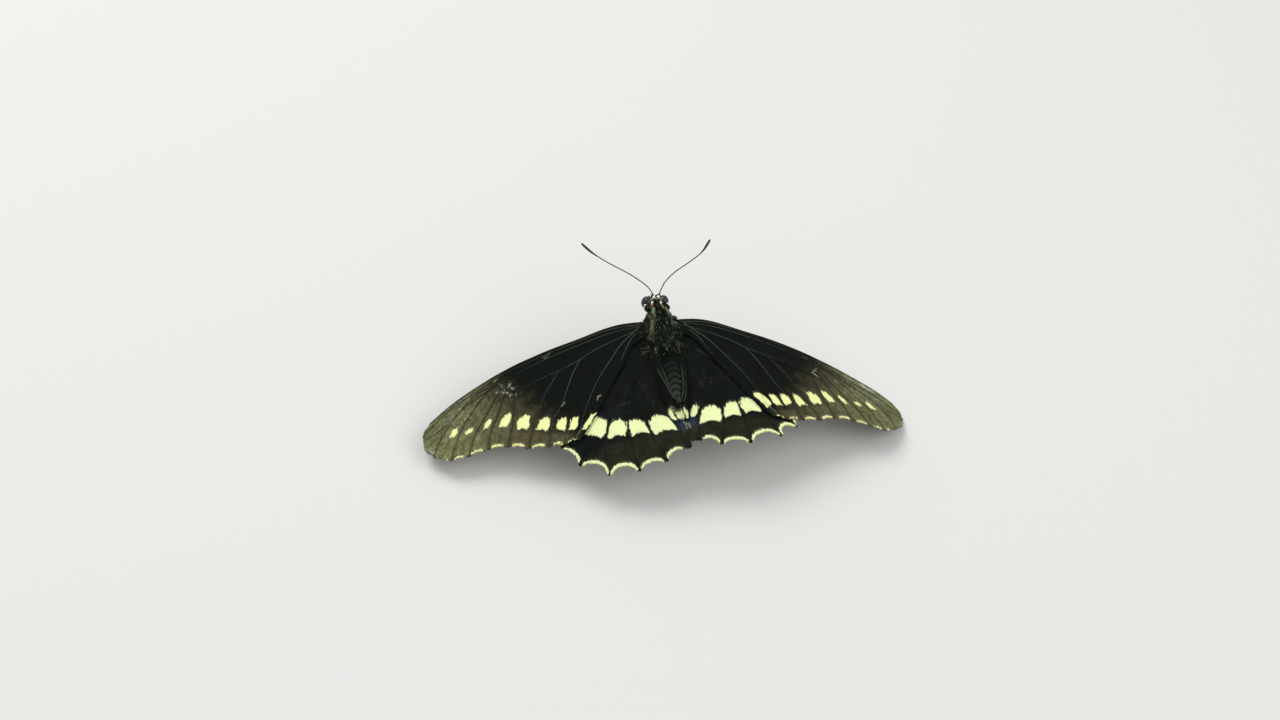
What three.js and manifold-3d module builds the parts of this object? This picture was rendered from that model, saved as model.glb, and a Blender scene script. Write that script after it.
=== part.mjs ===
// A tailless swallowtail butterfly at rest, wings spread and lowered, standing on its six feet.
// Millimetres. +X is the insect's right, +Y the way its head points, +Z up. The feet stand on z = 0.

import * as THREE from "three";
import { mergeVertices } from "three/addons/utils/BufferGeometryUtils.js";
import Module from "manifold-3d";

const wasm = await Module();
wasm.setup();

// Driving dimensions

const pieceGap = 0.3; // left between pieces that meet
const footLevel = 0.12; // what lies lower than this on a foot is its flat, on the floor

const hinge = { x: 3.3, y: 2.0, z: 14.64 }; // middle of the forewing's root
const hindHinge = { x: 2.6, y: -2.5 };
const wingThickness = 0.5;
const hindwingDrop = 0.9; // from the forewing's middle surface to the hindwing's

// How the wings are held. Drop and bend lower a wing outwards, pitch and twist lower it backwards.
const wingHold = {
  left: { side: -1, drop: 0.26, bend: 0, pitch: 0.18, twist: -0.0035 },
  right: { side: 1, drop: 0.148, bend: 0.0062, pitch: 0.122, twist: -0.008 },
};
const foreSweep = { left: 2.6, right: -2.6 }; // degrees forwards
const hindSweep = { left: -2.4, right: 2.4 };
const tipReach = { left: -0.8, right: 0.5 }; // how much further out the tip lies than in the outline below
const rearLift = { left: 0, right: 0.9 }; // how much less far back the hindwing's rear margin lies

// Wing outlines seen from above, from the hinge: x outwards, y forwards.
// A cell runs along the outer margin to the end of its vein, hollowed by its scallop between blunt teeth.
const forewing = {
  rootFront: [0, 1.0],
  rootBack: [0.2, -1.2],
  costa: [[5, 1.5], [13, 0.2], [19, -1.0], [25.5, -2.8], [33.2, -6.4], [38.2, -9.2]],
  apex: [41.3, -11.5],
  rightCosta: [[5, 1.5], [13, 0.1], [19, -1.0], [25.5, -2.6], [30.5, -4.2], [34.5, -5.7], [38.6, -7.7]],
  rightApex: [42.0, -10.4],
  cells: [
    { vein: "R3", end: [42.5, -14.9], rightEnd: [42.8, -14.6], scallop: -0.4 },
    { vein: "R4", end: [40.3, -18.7], scallop: -0.45 },
    { vein: "R5", end: [37.4, -20.0], scallop: 0.2 },
    { vein: "M1", end: [34.3, -19.8], scallop: 0.35 },
    { vein: "M2", end: [30.9, -19.0], scallop: 0.4 },
    { vein: "M3", end: [27.2, -19.1], scallop: 0.45 },
    { vein: "CuA1", end: [23.6, -20.3], scallop: 0.45 },
    { vein: "CuA2", end: [20.0, -20.7], scallop: 0.45 },
    { vein: "fold", end: [16.9, -20.6], scallop: 0.35 },
    { vein: "2A", end: [14.4, -20.3], scallop: 0.3 },
    { vein: "tornus", end: [13.1, -18.9], scallop: 0 },
  ],
  innerMargin: [[2.4, -3.0], [4.9, -6.8], [8.0, -11.3], [10.9, -15.9]],
  tooth: 0.12,
  stepsPerCell: 3,
  stepsOutwards: 7,
};

const hindwing = {
  rootFront: [0.85, 3.0],
  rootBack: [0.15, -2.0],
  costa: [[5.4, 3.2], [11.4, 1.0], [16.6, -2.9]],
  apex: [19.6, -7.6],
  cells: [
    { vein: "Rs", end: [20.7, -11.2], scallop: 0.4 },
    { vein: "M1", end: [20.1, -14.8], scallop: 0.5 },
    { vein: "M2", end: [17.7, -19.3], rightEnd: [17.5, -19.8], scallop: 0.85 },
    { vein: "M3", end: [13.1, -22.6], rightEnd: [14.0, -21.9], scallop: 1.5 },
    { vein: "CuA1", end: [7.8, -23.1], rightEnd: [7.75, -22.9], scallop: 1.6 },
    { vein: "CuA2", end: [2.8, -22.5], rightEnd: [2.4, -22.5], scallop: 1.0 },
    { vein: "2A", end: [-1.4, -20.9], scallop: 1.0 },
    { vein: "anal angle", end: [-2.3, -20.5], scallop: 0 },
  ],
  besideBody: [[2.5, -6.0], [1.95, -9.0], [1.6, -12.0], [0.95, -15.0], [0.3, -17.0], [0.17, -19.5],
    [0.17, -23.3]],
  tooth: 0.09,
  stepsPerCell: 4,
  stepsOutwards: 8,
};
const scallopFullness = 2.5;

// y and x along the middle of the abdomen, which bends to the left, and then along the line where
// the two hindwings meet, which swings to the right.
const midLine = [[-4, 0], [-10.3, -0.28], [-13, -0.6], [-15, -0.72], [-15.9, -0.4], [-16.8, 0.2],
  [-17.6, 0.55], [-18.6, 0.65], [-20, 0.55], [-22, 0.5]];

// The hindwing's inner margin folds up beside the abdomen.
const innerFold = { startCell: 6.3, height: 2.3, rises: 0.1, full: 0.3, falls: 0.5, ends: 0.78 };

// Body sections: y along the body, z of the middle, half width, height above and depth below the middle.
const thorax = {
  front: 6.5,
  back: -4.9,
  rounding: [1.1, 0.9],
  sections: [
    [6.5, 14.2, 1.85, 1.3, 1.8],
    [5.3, 14.0, 2.5, 1.9, 2.4],
    [4.0, 13.7, 2.95, 2.5, 3.0],
    [1.5, 13.3, 3.1, 3.3, 3.6],
    [-0.8, 13.2, 3.1, 3.5, 3.6],
    [-3.0, 13.2, 2.7, 3.0, 3.1],
    [-4.9, 13.3, 2.1, 2.3, 2.4],
  ],
};
const abdomen = {
  front: -5.2,
  back: -16.2,
  rounding: [0.8, 1.4],
  rings: 7,
  ringDepth: 0.05,
  bends: true,
  sections: [
    [-5.2, 13.3, 1.6, 1.75, 1.9],
    [-8.0, 13.3, 1.55, 1.8, 1.95],
    [-12.0, 13.5, 1.15, 1.45, 1.6],
    [-15.0, 13.8, 0.8, 0.95, 1.1],
    [-16.2, 13.9, 0.6, 0.7, 0.75],
  ],
};
const head = {
  front: 9.6,
  back: 6.85,
  rounding: [1.2, 0.8],
  sections: [
    [9.6, 14.3, 1.3, 1.1, 1.3],
    [8.2, 14.5, 1.6, 1.35, 1.6],
    [6.85, 14.4, 1.5, 1.2, 1.4],
  ],
};
const eye = { x: 1.6, y: 8.1, z: 14.5, radii: [1.07, 1.15, 1.3] };

// The feelers differ left and right. The palps and legs are given for the right and mirrored.
const antenna = {
  shaftRadius: 0.25,
  clubRadius: 0.36,
  clubStart: 0.74,
  left: [
    [-0.5, 8.8, 16.0],
    [-0.75, 10.3, 15.85],
    [-1.25, 11.3, 15.9],
    [-3.8, 14.1, 16.2],
    [-7.2, 17.0, 16.5],
    [-10.1, 19.9, 16.8],
    [-11.7, 22.3, 17.0],
  ],
  right: [
    [0.85, 8.8, 16.0],
    [1.5, 10.2, 15.85],
    [2.5, 11.6, 15.9],
    [4.8, 13.7, 16.2],
    [8.0, 15.7, 16.5],
    [11.1, 17.9, 16.8],
    [13.5, 20.9, 17.0],
  ],
};
const palp = { radius: 0.38, path: [[0.62, 9.4, 12.4], [0.62, 10.05, 12.9], [0.58, 10.2, 13.9]] };
const proboscis = { y: 9.3, z: 11.0, radius: 0.25, inner: 0.35, outer: 1.15, turns: 1.4, steps: 28 };
// Legs: hip, knee, ankle and toe.
const legs = {
  fore: [[1.1, 4.0, 10.2], [3.4, 6.6, 9.4], [4.6, 8.7, 4.2], [5.9, 11.6, 0.27]],
  mid: [[1.3, 1.1, 9.3], [6.2, 1.5, 9.9], [8.3, 1.7, 3.6], [12.3, 2.2, 0.27]],
  hind: [[1.25, -1.7, 9.3], [5.1, -5.3, 9.9], [6.6, -7.5, 3.4], [9.2, -11.2, 0.27]],
};
const legShape = {
  femur: { thick: 0.45, ends: 0.3 },
  tibia: { thick: 0.32, ends: 0.27 },
  tarsus: { thick: 0.27, ends: 0.25 },
  kneeTrim: 0.36, // cut from each end of a leg piece where it meets the next
  footLength: 1.3,
};

const colours = {
  body: { color: 0x15130f, roughness: 0.85, metalness: 0 },
  eye: { color: 0x1d2a33, roughness: 0.25, metalness: 0 },
  feeler: { color: 0x0e0d0c, roughness: 0.5, metalness: 0 },
  leg: { color: 0x1a1815, roughness: 0.6, metalness: 0 },
  wing: { color: 0x171410, roughness: 0.8, metalness: 0 },
};

// Shaping helpers

// Merges a geometry's shared corners, so that it is one closed surface.
function closed(geometry) {
  const bare = geometry.clone();
  bare.deleteAttribute("normal");
  bare.deleteAttribute("uv");
  return mergeVertices(bare, 1e-5);
}

// Moves every corner of a closed geometry to where place(x, y, z) says.
function reshape(geometry, place) {
  const shape = closed(geometry);
  const corners = shape.getAttribute("position");
  for (let i = 0; i < corners.count; i += 1) {
    const target = place(corners.getX(i), corners.getY(i), corners.getZ(i));
    corners.setXYZ(i, target.x, target.y, target.z);
  }
  return shape;
}

// Turns a shape inside out, which a mirrored or left-handed placing needs.
function flipped(geometry) {
  const order = Array.from(geometry.index.array);
  for (let i = 0; i < order.length; i += 3) {
    [order[i], order[i + 1]] = [order[i + 1], order[i]];
  }
  geometry.setIndex(order);
  return geometry;
}

function toManifold(geometry) {
  return new wasm.Manifold(new wasm.Mesh({
    numProp: 3,
    vertProperties: Float32Array.from(geometry.getAttribute("position").array),
    triVerts: Uint32Array.from(geometry.index.array),
  }));
}

function fromManifold(manifold) {
  const mesh = manifold.getMesh();
  const geometry = new THREE.BufferGeometry();
  geometry.setAttribute("position", new THREE.BufferAttribute(mesh.vertProperties, 3));
  geometry.setIndex(Array.from(mesh.triVerts));
  return geometry;
}

// Rises smoothly from 0 at start to 1 at end, which may lie either way.
const smoothStep = (start, end, value) => THREE.MathUtils.smoothstep((value - start) / (end - start), 0, 1);
const toVector = ([x, y, z = 0]) => new THREE.Vector3(x, y, z);
const vertical = new THREE.Vector3(0, 0, 1);
const smoothCurve = (points) => new THREE.CatmullRomCurve3(points, false, "centripetal");
const splineThrough = (points) => smoothCurve(points.map(toVector));

// How far to the right the middle of the abdomen, or the seam behind it, lies at a place along the body.
function middleAt(y) {
  const next = midLine.findIndex(([endY]) => endY <= y);
  if (next < 1) {
    return next === 0 ? 0 : midLine.at(-1)[1];
  }
  const [[frontY, frontX], [backY, backX]] = [midLine[next - 1], midLine[next]];
  return THREE.MathUtils.mapLinear(y, frontY, backY, frontX, backX);
}

// Body pieces: a sphere drawn out along the body between its end points

function sectionAt(sections, y) {
  let next = sections.findIndex((section) => section[0] <= y);
  next = Math.max(1, next === -1 ? sections.length - 1 : next);
  const [before, after] = [sections[next - 1], sections[next]];
  const share = THREE.MathUtils.clamp((before[0] - y) / (before[0] - after[0]), 0, 1);
  const eased = share * share * (3 - 2 * share) * 0.5 + share * 0.5;
  return before.map((value, i) => THREE.MathUtils.lerp(value, after[i], eased));
}

function bodyPiece({ front, back, rounding, sections, rings = 0, ringDepth = 0, bends }, around, along) {
  return reshape(new THREE.SphereGeometry(1, around, along), (x, y, z) => {
    const share = Math.acos(THREE.MathUtils.clamp(y, -1, 1)) / Math.PI;
    const bodyY = THREE.MathUtils.lerp(front, back, share - Math.sin(2 * Math.PI * share) / 12);
    const fromEnd = Math.min((front - bodyY) / rounding[0], (bodyY - back) / rounding[1], 1);
    const swell = Math.sqrt(Math.max(0, 1 - (1 - fromEnd) ** 2));
    const ring = 1 - ringDepth * Math.abs(Math.cos(Math.PI * rings * share)) ** 6;
    const [, middle, halfWidth, above, below] = sectionAt(sections, bodyY);
    const reach = Math.hypot(x, z) || 1;
    const [outwards, upwards] = [x / reach, z / reach];
    const halfHeight = upwards > 0 ? above : below;
    const scale = reach > 1e-6 ? swell * ring : 0;
    const across = (bends ? middleAt(bodyY) : 0) + outwards * halfWidth * scale;
    return new THREE.Vector3(across, bodyY, middle + upwards * halfHeight * scale);
  });
}

// Limbs and feelers: a capped cylinder laid along a curve

function limb(curve, radiusAt, around, along) {
  const frames = curve.computeFrenetFrames(along, false);
  return reshape(new THREE.CylinderGeometry(1, 1, 1, around, along), (x, y, z) => {
    const step = Math.round((y + 0.5) * along);
    const share = step / along;
    const spot = curve.getPointAt(share);
    const radius = radiusAt(share);
    spot.addScaledVector(frames.binormals[step], x * radius);
    spot.addScaledVector(frames.normals[step], z * radius);
    spot.z = spot.z < footLevel ? 0 : spot.z;
    return spot;
  });
}

// Wings: a thin box mapped onto a patch between the costa, the outer margin, the inner margin and the root

// Draws a wing's tip out or in, most at the front of the apex.
function withTip([x, y], reach) {
  return [x + reach * smoothStep(34, 41, x) * smoothStep(-19, -13, y), y];
}

// Draws a wing's rear margin forwards.
const withLift = ([x, y], lift) => [x, y + lift * smoothStep(-16, -22, y)];

function sweptPoint([x, y], from, degrees) {
  const turned = new THREE.Vector3(x, y, 0).applyAxisAngle(vertical, THREE.MathUtils.degToRad(degrees));
  return turned.add(new THREE.Vector3(from.x, from.y, 0));
}

function marginPoint(wing, corners, u) {
  const along = u * wing.cells.length;
  const cell = Math.min(Math.floor(along), wing.cells.length - 1);
  const share = along - cell;
  const [start, end] = [corners[cell], corners[cell + 1]];
  const chord = end.clone().sub(start);
  const inwards = new THREE.Vector3(chord.y, -chord.x, 0).normalize();
  const hollow = THREE.MathUtils.clamp((share - wing.tooth) / (1 - 2 * wing.tooth), 0, 1);
  const depth = wing.cells[cell].scallop * (1 - Math.abs(2 * hollow - 1) ** scallopFullness);
  return start.clone().addScaledVector(chord, share).addScaledVector(inwards, depth);
}

const besideMiddle = ([x, y], side) => new THREE.Vector3(x + side * middleAt(y), y, 0);

function wingPlan(wing, side, { from, degrees, reach, lift }) {
  const at = (point) => sweptPoint(withLift(withTip(point, reach), lift), from, degrees);
  const pick = (either, right) => (side > 0 && right) || either;
  const ends = wing.cells.map((cell) => pick(cell.end, cell.rightEnd));
  const corners = [pick(wing.apex, wing.rightApex), ...ends].map(at);
  const [rootFront, rootBack] = [at(wing.rootFront), at(wing.rootBack)];
  let inner = [rootBack, ...(wing.innerMargin ?? []).map(at), corners.at(-1)];
  if (wing.besideBody) {
    inner = [rootBack, ...wing.besideBody.map((point) => besideMiddle(withLift(point, lift), side))];
    corners[corners.length - 1] = inner.at(-1).clone();
  }
  const costa = smoothCurve([rootFront, ...pick(wing.costa, wing.rightCosta).map(at), corners[0]]);
  const innerMargin = smoothCurve(inner);
  return (u, v) => {
    const root = rootFront.clone().lerp(rootBack, u);
    const margin = marginPoint(wing, corners, u);
    const across = costa.getPointAt(v).lerp(innerMargin.getPointAt(v), u);
    const outwards = root.clone().lerp(margin, v);
    const rootCorner = rootFront.clone().lerp(rootBack, u);
    const marginCorner = corners[0].clone().lerp(corners.at(-1), u);
    return across.add(outwards).sub(rootCorner.lerp(marginCorner, v));
  };
}

function wingLevel(x, y, { drop, bend, pitch, twist }) {
  const [out, ahead] = [x - hinge.x, y - hinge.y];
  return hinge.z - drop * out - bend * out * out + pitch * ahead + twist * out * ahead;
}

function foldRise(u, v, cells) {
  const { startCell, height, rises, full, falls, ends } = innerFold;
  const across = smoothStep(startCell / cells, 1, u);
  return height * across * smoothStep(rises, full, v) * (1 - smoothStep(falls, ends, v));
}

function wingSlab(wing, hold, setting) {
  const { lowered, folds } = setting;
  const plan = wingPlan(wing, hold.side, setting);
  const surface = (u, v) => {
    const spot = plan(u, v);
    spot.z = wingLevel(spot.x, spot.y, hold) - lowered;
    spot.z += folds ? foldRise(u, v, wing.cells.length) : 0;
    return spot;
  };
  const step = 0.01;
  const acrossSteps = wing.cells.length * wing.stepsPerCell;
  const slab = new THREE.BoxGeometry(1, 1, 1, acrossSteps, wing.stepsOutwards, 1);
  return reshape(slab, (x, y, z) => {
    const [u, v] = [x + 0.5, y + 0.5];
    const alongU = surface(Math.min(u + step, 1), v).sub(surface(Math.max(u - step, 0), v));
    const alongV = surface(u, Math.min(v + step, 1)).sub(surface(u, Math.max(v - step, 0)));
    const normal = alongU.cross(alongV).normalize();
    const spot = surface(u, v).addScaledVector(normal, z * wingThickness);
    spot.x *= hold.side;
    return spot;
  });
}

// Assembly

const butterfly = new THREE.Group();

function addPiece(name, geometry, look) {
  const piece = new THREE.Mesh(geometry, new THREE.MeshStandardMaterial(colours[look]));
  piece.name = name;
  butterfly.add(piece);
}

function addHead() {
  let skull = toManifold(bodyPiece(head, 18, 12));
  for (const [name, side] of [["left", -1], ["right", 1]]) {
    const ball = closed(new THREE.SphereGeometry(1, 14, 10));
    const socket = ball.clone();
    ball.scale(...eye.radii);
    socket.scale(...eye.radii.map((radius) => radius + pieceGap));
    ball.translate(side * eye.x, eye.y, eye.z);
    socket.translate(side * eye.x, eye.y, eye.z);
    skull = skull.subtract(toManifold(socket));
    addPiece(`eye_${name}`, ball, "eye");
  }
  addPiece("head", fromManifold(skull), "body");
}

function addFeelers() {
  const { shaftRadius, clubRadius, clubStart } = antenna;
  const feeler = (share) => THREE.MathUtils.lerp(shaftRadius, clubRadius, smoothStep(clubStart, 0.95, share));
  const taper = (share) => palp.radius * (1 - 0.3 * share);
  for (const [name, side] of [["left", -1], ["right", 1]]) {
    addPiece(`antenna_${name}`, limb(splineThrough(antenna[name]), feeler, 6, 16), "feeler");
    const path = palp.path.map(([x, y, z]) => [side * x, y, z]);
    addPiece(`palp_${name}`, limb(splineThrough(path), taper, 8, 5), "body");
  }
}

function addProboscis() {
  const { y, z, radius, inner, outer, turns, steps } = proboscis;
  const coil = [];
  for (let i = 0; i <= steps; i += 1) {
    const share = i / steps;
    const angle = Math.PI / 2 - 2 * Math.PI * turns * share;
    const reach = THREE.MathUtils.lerp(outer, inner, share);
    coil.push([0, y + reach * Math.cos(angle), z + reach * Math.sin(angle)]);
  }
  addPiece("proboscis", limb(splineThrough(coil), () => radius, 6, steps), "feeler");
}

// A straight leg piece from one joint to the next, trimmed at both ends and thickest in its middle.
function legPiece(joints, { thick, ends }, trimStart, trimEnd) {
  const points = joints.map(toVector);
  const first = points[1].clone().sub(points[0]).setLength(trimStart);
  const last = points.at(-2).clone().sub(points.at(-1)).setLength(trimEnd);
  points[0].add(first);
  points[points.length - 1].add(last);
  const swell = (share) => THREE.MathUtils.lerp(ends, thick, Math.sin(Math.PI * share));
  return limb(smoothCurve(points), swell, 8, points.length * 2);
}

function addLegs() {
  const trim = legShape.kneeTrim;
  for (const [pair, joints] of Object.entries(legs)) {
    for (const [name, side] of [["left", -1], ["right", 1]]) {
      const [hip, knee, ankle, toe] = joints.map(([x, y, z]) => [side * x, y, z]);
      const step = toVector(toe).sub(toVector(ankle)).setZ(0).setLength(legShape.footLength);
      const heel = [toe[0] - step.x, toe[1] - step.y, toe[2] + 0.1];
      const label = `leg_${pair}_${name}`;
      addPiece(`${label}_femur`, legPiece([hip, knee], legShape.femur, 0.01, trim), "leg");
      addPiece(`${label}_tibia`, legPiece([knee, ankle], legShape.tibia, trim, trim), "leg");
      addPiece(`${label}_tarsus`, legPiece([ankle, heel, toe], legShape.tarsus, trim, 0.01), "leg");
    }
  }
}

function addWings() {
  for (const [name, hold] of Object.entries(wingHold)) {
    const fore = { from: hinge, degrees: foreSweep[name], reach: tipReach[name], lift: 0, lowered: 0 };
    const hind = { from: hindHinge, degrees: hindSweep[name], reach: 0, lift: rearLift[name] };
    Object.assign(hind, { lowered: hindwingDrop, folds: true });
    const slabs = { forewing: wingSlab(forewing, hold, fore), hindwing: wingSlab(hindwing, hold, hind) };
    for (const [label, slab] of Object.entries(slabs)) {
      addPiece(`${label}_${name}`, hold.side < 0 ? flipped(slab) : slab, "wing");
    }
  }
}

addHead();
addFeelers();
addProboscis();
addPiece("thorax", bodyPiece(thorax, 20, 14), "body");
addPiece("abdomen", bodyPiece(abdomen, 16, 28), "body");
addLegs();
addWings();

// The origin is on the floor, under the middle of the insect's outline.
const middle = new THREE.Box3().setFromObject(butterfly).getCenter(new THREE.Vector3());
butterfly.position.set(-middle.x, -middle.y, 0);

export default butterfly;
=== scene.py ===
import math

import bmesh
import bpy
import numpy as np
from mathutils import Matrix, Vector


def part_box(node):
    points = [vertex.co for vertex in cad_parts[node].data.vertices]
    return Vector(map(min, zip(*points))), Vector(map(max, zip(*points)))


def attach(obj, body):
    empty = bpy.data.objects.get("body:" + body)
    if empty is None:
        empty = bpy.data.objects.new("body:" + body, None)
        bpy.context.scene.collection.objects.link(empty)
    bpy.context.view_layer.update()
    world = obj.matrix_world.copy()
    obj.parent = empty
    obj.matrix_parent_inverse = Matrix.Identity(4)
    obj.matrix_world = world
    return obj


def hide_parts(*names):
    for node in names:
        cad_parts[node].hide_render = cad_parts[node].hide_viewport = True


# A gold rim swallowtail at rest: scaled wings, hairy body, feelers and legs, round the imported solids.
# Shapes are worked out in millimetres, with +X the insect's right, +Y the way its head points and +Z up.

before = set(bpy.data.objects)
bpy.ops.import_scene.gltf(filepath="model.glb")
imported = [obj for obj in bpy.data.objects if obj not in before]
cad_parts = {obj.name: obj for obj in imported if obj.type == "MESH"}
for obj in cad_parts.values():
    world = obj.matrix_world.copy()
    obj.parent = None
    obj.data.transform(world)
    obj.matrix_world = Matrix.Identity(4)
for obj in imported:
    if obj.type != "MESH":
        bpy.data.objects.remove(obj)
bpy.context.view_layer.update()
mm = 0.001
thinning = 1
bodyFront = 6.5  # y of the thorax's front end, which ties these millimetres to the frame
thoraxLow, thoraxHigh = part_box("thorax")
frameOrigin = np.array([(thoraxLow.x + thoraxHigh.x) / 2, thoraxHigh.y - bodyFront * mm, 0])


def toFrame(points):
    return np.asarray(points, float) * mm + frameOrigin


# Small helpers

def smoothStep(start, end, value):
    share = np.clip((np.asarray(value, float) - start) / (end - start), 0, 1)
    return share * share * (3 - 2 * share)


def lengthOf(vectors):
    return np.linalg.norm(vectors, axis=-1)


def unit(vectors):
    return vectors / np.maximum(lengthOf(vectors), 1e-9)[..., None]


def runAlong(line):
    return np.concatenate([[0], np.cumsum(lengthOf(np.diff(line, axis=0)))])


def laidFlat(lie, normal, share=1):
    # the direction of lie, with this share of what stands along the normal taken out
    return unit(lie - normal * share * (lie * normal).sum(1)[:, None])


def nearestOf(points, others):
    # which of the others is nearest to each point, worked out in groups to spare memory
    groups = np.array_split(points, len(points) // 1500 + 1)
    return np.concatenate([lengthOf(group[:, None] - others).argmin(1) for group in groups])


def smoothLine(points, count):
    # a centripetal curve through the points, its count points evenly spaced along it
    knots = np.array(points, float)
    knots = np.vstack([2 * knots[0] - knots[1], knots, 2 * knots[-1] - knots[-2]])
    times = np.concatenate([[0], np.cumsum(np.sqrt(lengthOf(np.diff(knots, axis=0))))])
    pieces = []
    for i in range(1, len(knots) - 2):
        (p0, p1, p2, p3), (t0, t1, t2, t3) = knots[i - 1:i + 3], times[i - 1:i + 3]
        t = np.linspace(t1, t2, 24, endpoint=False)[:, None]
        a1 = ((t1 - t) * p0 + (t - t0) * p1) / (t1 - t0)
        a2 = ((t2 - t) * p1 + (t - t1) * p2) / (t2 - t1)
        a3 = ((t3 - t) * p2 + (t - t2) * p3) / (t3 - t2)
        b1 = ((t2 - t) * a1 + (t - t0) * a2) / (t2 - t0)
        b2 = ((t3 - t) * a2 + (t - t1) * a3) / (t3 - t1)
        pieces.append(((t2 - t) * b1 + (t - t1) * b2) / (t2 - t1))
    line = np.vstack(pieces + [knots[-2:-1]])
    run = runAlong(line)
    places = np.linspace(0, run[-1], count)
    return np.stack([np.interp(places, run, column) for column in line.T], -1)


def pointAlong(line, share):
    places = np.linspace(0, 1, len(line))
    return np.stack([np.interp(share, places, column) for column in line.T], -1)


def nearestOnLine(points, line):
    # distance to a line, the share of it at the nearest point, and its direction there
    starts, steps = line[:-1], np.diff(line, axis=0)
    gaps = points[:, None] - starts
    shares = np.clip((gaps * steps).sum(-1) / (steps ** 2).sum(-1), 0, 1)
    distances = lengthOf(gaps - shares[..., None] * steps)
    best, rows = distances.argmin(1), np.arange(len(points))
    return distances[rows, best], (best + shares[rows, best]) / len(steps), unit(steps)[best]


def insideDistance(points, outline):
    # distance to a closed outline, negative inside it
    ring = np.vstack([outline, outline[:1]])
    x, y = points[:, :1], points[:, 1:]
    (ax, ay), (bx, by) = ring[:-1].T, ring[1:].T
    crossed = ((ay > y) != (by > y)) & (x < (bx - ax) * (y - ay) / (by - ay + 1e-12) + ax)
    inside = crossed.sum(1) % 2 == 1
    distance = nearestOnLine(points, ring)[0]
    return np.where(inside, -distance, distance)


def roughLine(places, seed):
    # a smooth random line between -1 and 1, one knot per unit
    knots = np.random.default_rng(seed).uniform(-1, 1, 256)
    cell = np.floor(places).astype(int)
    share = places - cell
    share = share * share * (3 - 2 * share)
    return knots[cell % 256] * (1 - share) + knots[(cell + 1) % 256] * share


def roughField(points, size, seed):
    # smooth random values between -1 and 1 over space, about one size apart
    values = np.random.default_rng(seed).uniform(-1, 1, 4096)
    places = points / size
    cell = np.floor(places).astype(int)
    share = places - cell
    share = share * share * (3 - 2 * share)
    total = np.zeros(len(points))
    for corner in np.ndindex(*[2] * points.shape[1]):
        weight, key = np.ones(len(points)), np.zeros(len(points), int)
        for axis, step in enumerate(corner):
            weight = weight * (share[:, axis] if step else 1 - share[:, axis])
            key = key * 57 + (cell[:, axis] + step) * 131
        total += weight * values[key % 4096]
    return total


# Materials

def toLinear(hexColour):
    channels = [int(hexColour[i:i + 2], 16) / 255 for i in (1, 3, 5)]
    return [c / 12.92 if c <= 0.04045 else ((c + 0.055) / 1.055) ** 2.4 for c in channels] + [1]


def addNode(tree, kind, settings, inputs):
    node = tree.nodes.new("ShaderNode" + kind)
    for name, value in settings.items():
        setattr(node, name, value)
    for name, value in inputs.items():
        if isinstance(value, bpy.types.NodeSocket):
            tree.links.new(value, node.inputs[name])
        else:
            node.inputs[name].default_value = value
    return node


def startMaterial(name, finish):
    material = bpy.data.materials.new(name)
    material.use_nodes = True
    tree = material.node_tree
    tree.nodes.clear()
    shader = addNode(tree, "BsdfPrincipled", {}, finish)
    output = addNode(tree, "OutputMaterial", {}, {"Surface": shader.outputs[0]})
    output.target = "ALL"
    return material, tree, shader


def maskNames(tree, attribute, names):
    source = addNode(tree, "Attribute", {"attribute_name": attribute}, {})
    split = addNode(tree, "SeparateXYZ", {}, {0: source.outputs["Vector"]})
    return {name: split.outputs[i] for i, name in enumerate(names)}


def layerColours(tree, base, layers):
    colour = toLinear(base)
    for mask, hexColour in layers:
        colour = addNode(tree, "Mix", {"data_type": "RGBA"}, {0: mask, 6: colour, 7: toLinear(hexColour)})
        colour = colour.outputs[2]
    return colour


def addGrain(tree, shader, place, grain):
    # one fine noise for the relief and for the uneven gloss
    fine = addNode(tree, "TexNoise", {}, {
        "Vector": place, "Scale": 1 / (grain["size"] * mm), "Detail": grain["detail"]})
    bump = addNode(tree, "Bump", {}, {
        "Strength": grain["strength"], "Distance": grain["depth"] * mm, "Height": fine.outputs[0]})
    tree.links.new(bump.outputs[0], shader.inputs["Normal"])
    glossiest, dullest = grain["roughness"]
    rough = addNode(tree, "MapRange", {}, {0: fine.outputs[0], 1: 0.3, 2: 0.7, 3: glossiest, 4: dullest})
    tree.links.new(rough.outputs[0], shader.inputs["Roughness"])


# blue is a painted sheen, bluish on the upper side and grey beneath
wingColours = {
    "upper": {"black": "#0c110c", "brown": "#58523a", "olive": "#7f8259", "paintedBlueSheen": "#293a4a",
              "cream": "#f3fbbf", "gold": "#f8fbb4", "pale": "#b6bba9", "red": "#b06a3a", "veinDarkAndShade": "#090a08"},
    # the last colour darkens the veins and the folds between them: partly their own colour, on the upper side
    # partly painted shade
    "lower": {"black": "#1e1912", "brown": "#463d2d", "olive": "#675f45", "paintedBlueSheen": "#23262a",
              "cream": "#e6dc9a", "gold": "#e6dc9a", "pale": "#f1ead4", "red": "#a5301c", "veinDarkAndShade": "#15120c"},
}


# fine ribs along the scales, drawn at 0.09 mm so that they show
scaleRibs = {"size": 0.09, "detail": 2.0, "strength": 0.25, "depth": 0.03, "roughness": (0.68, 0.85)}


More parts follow.
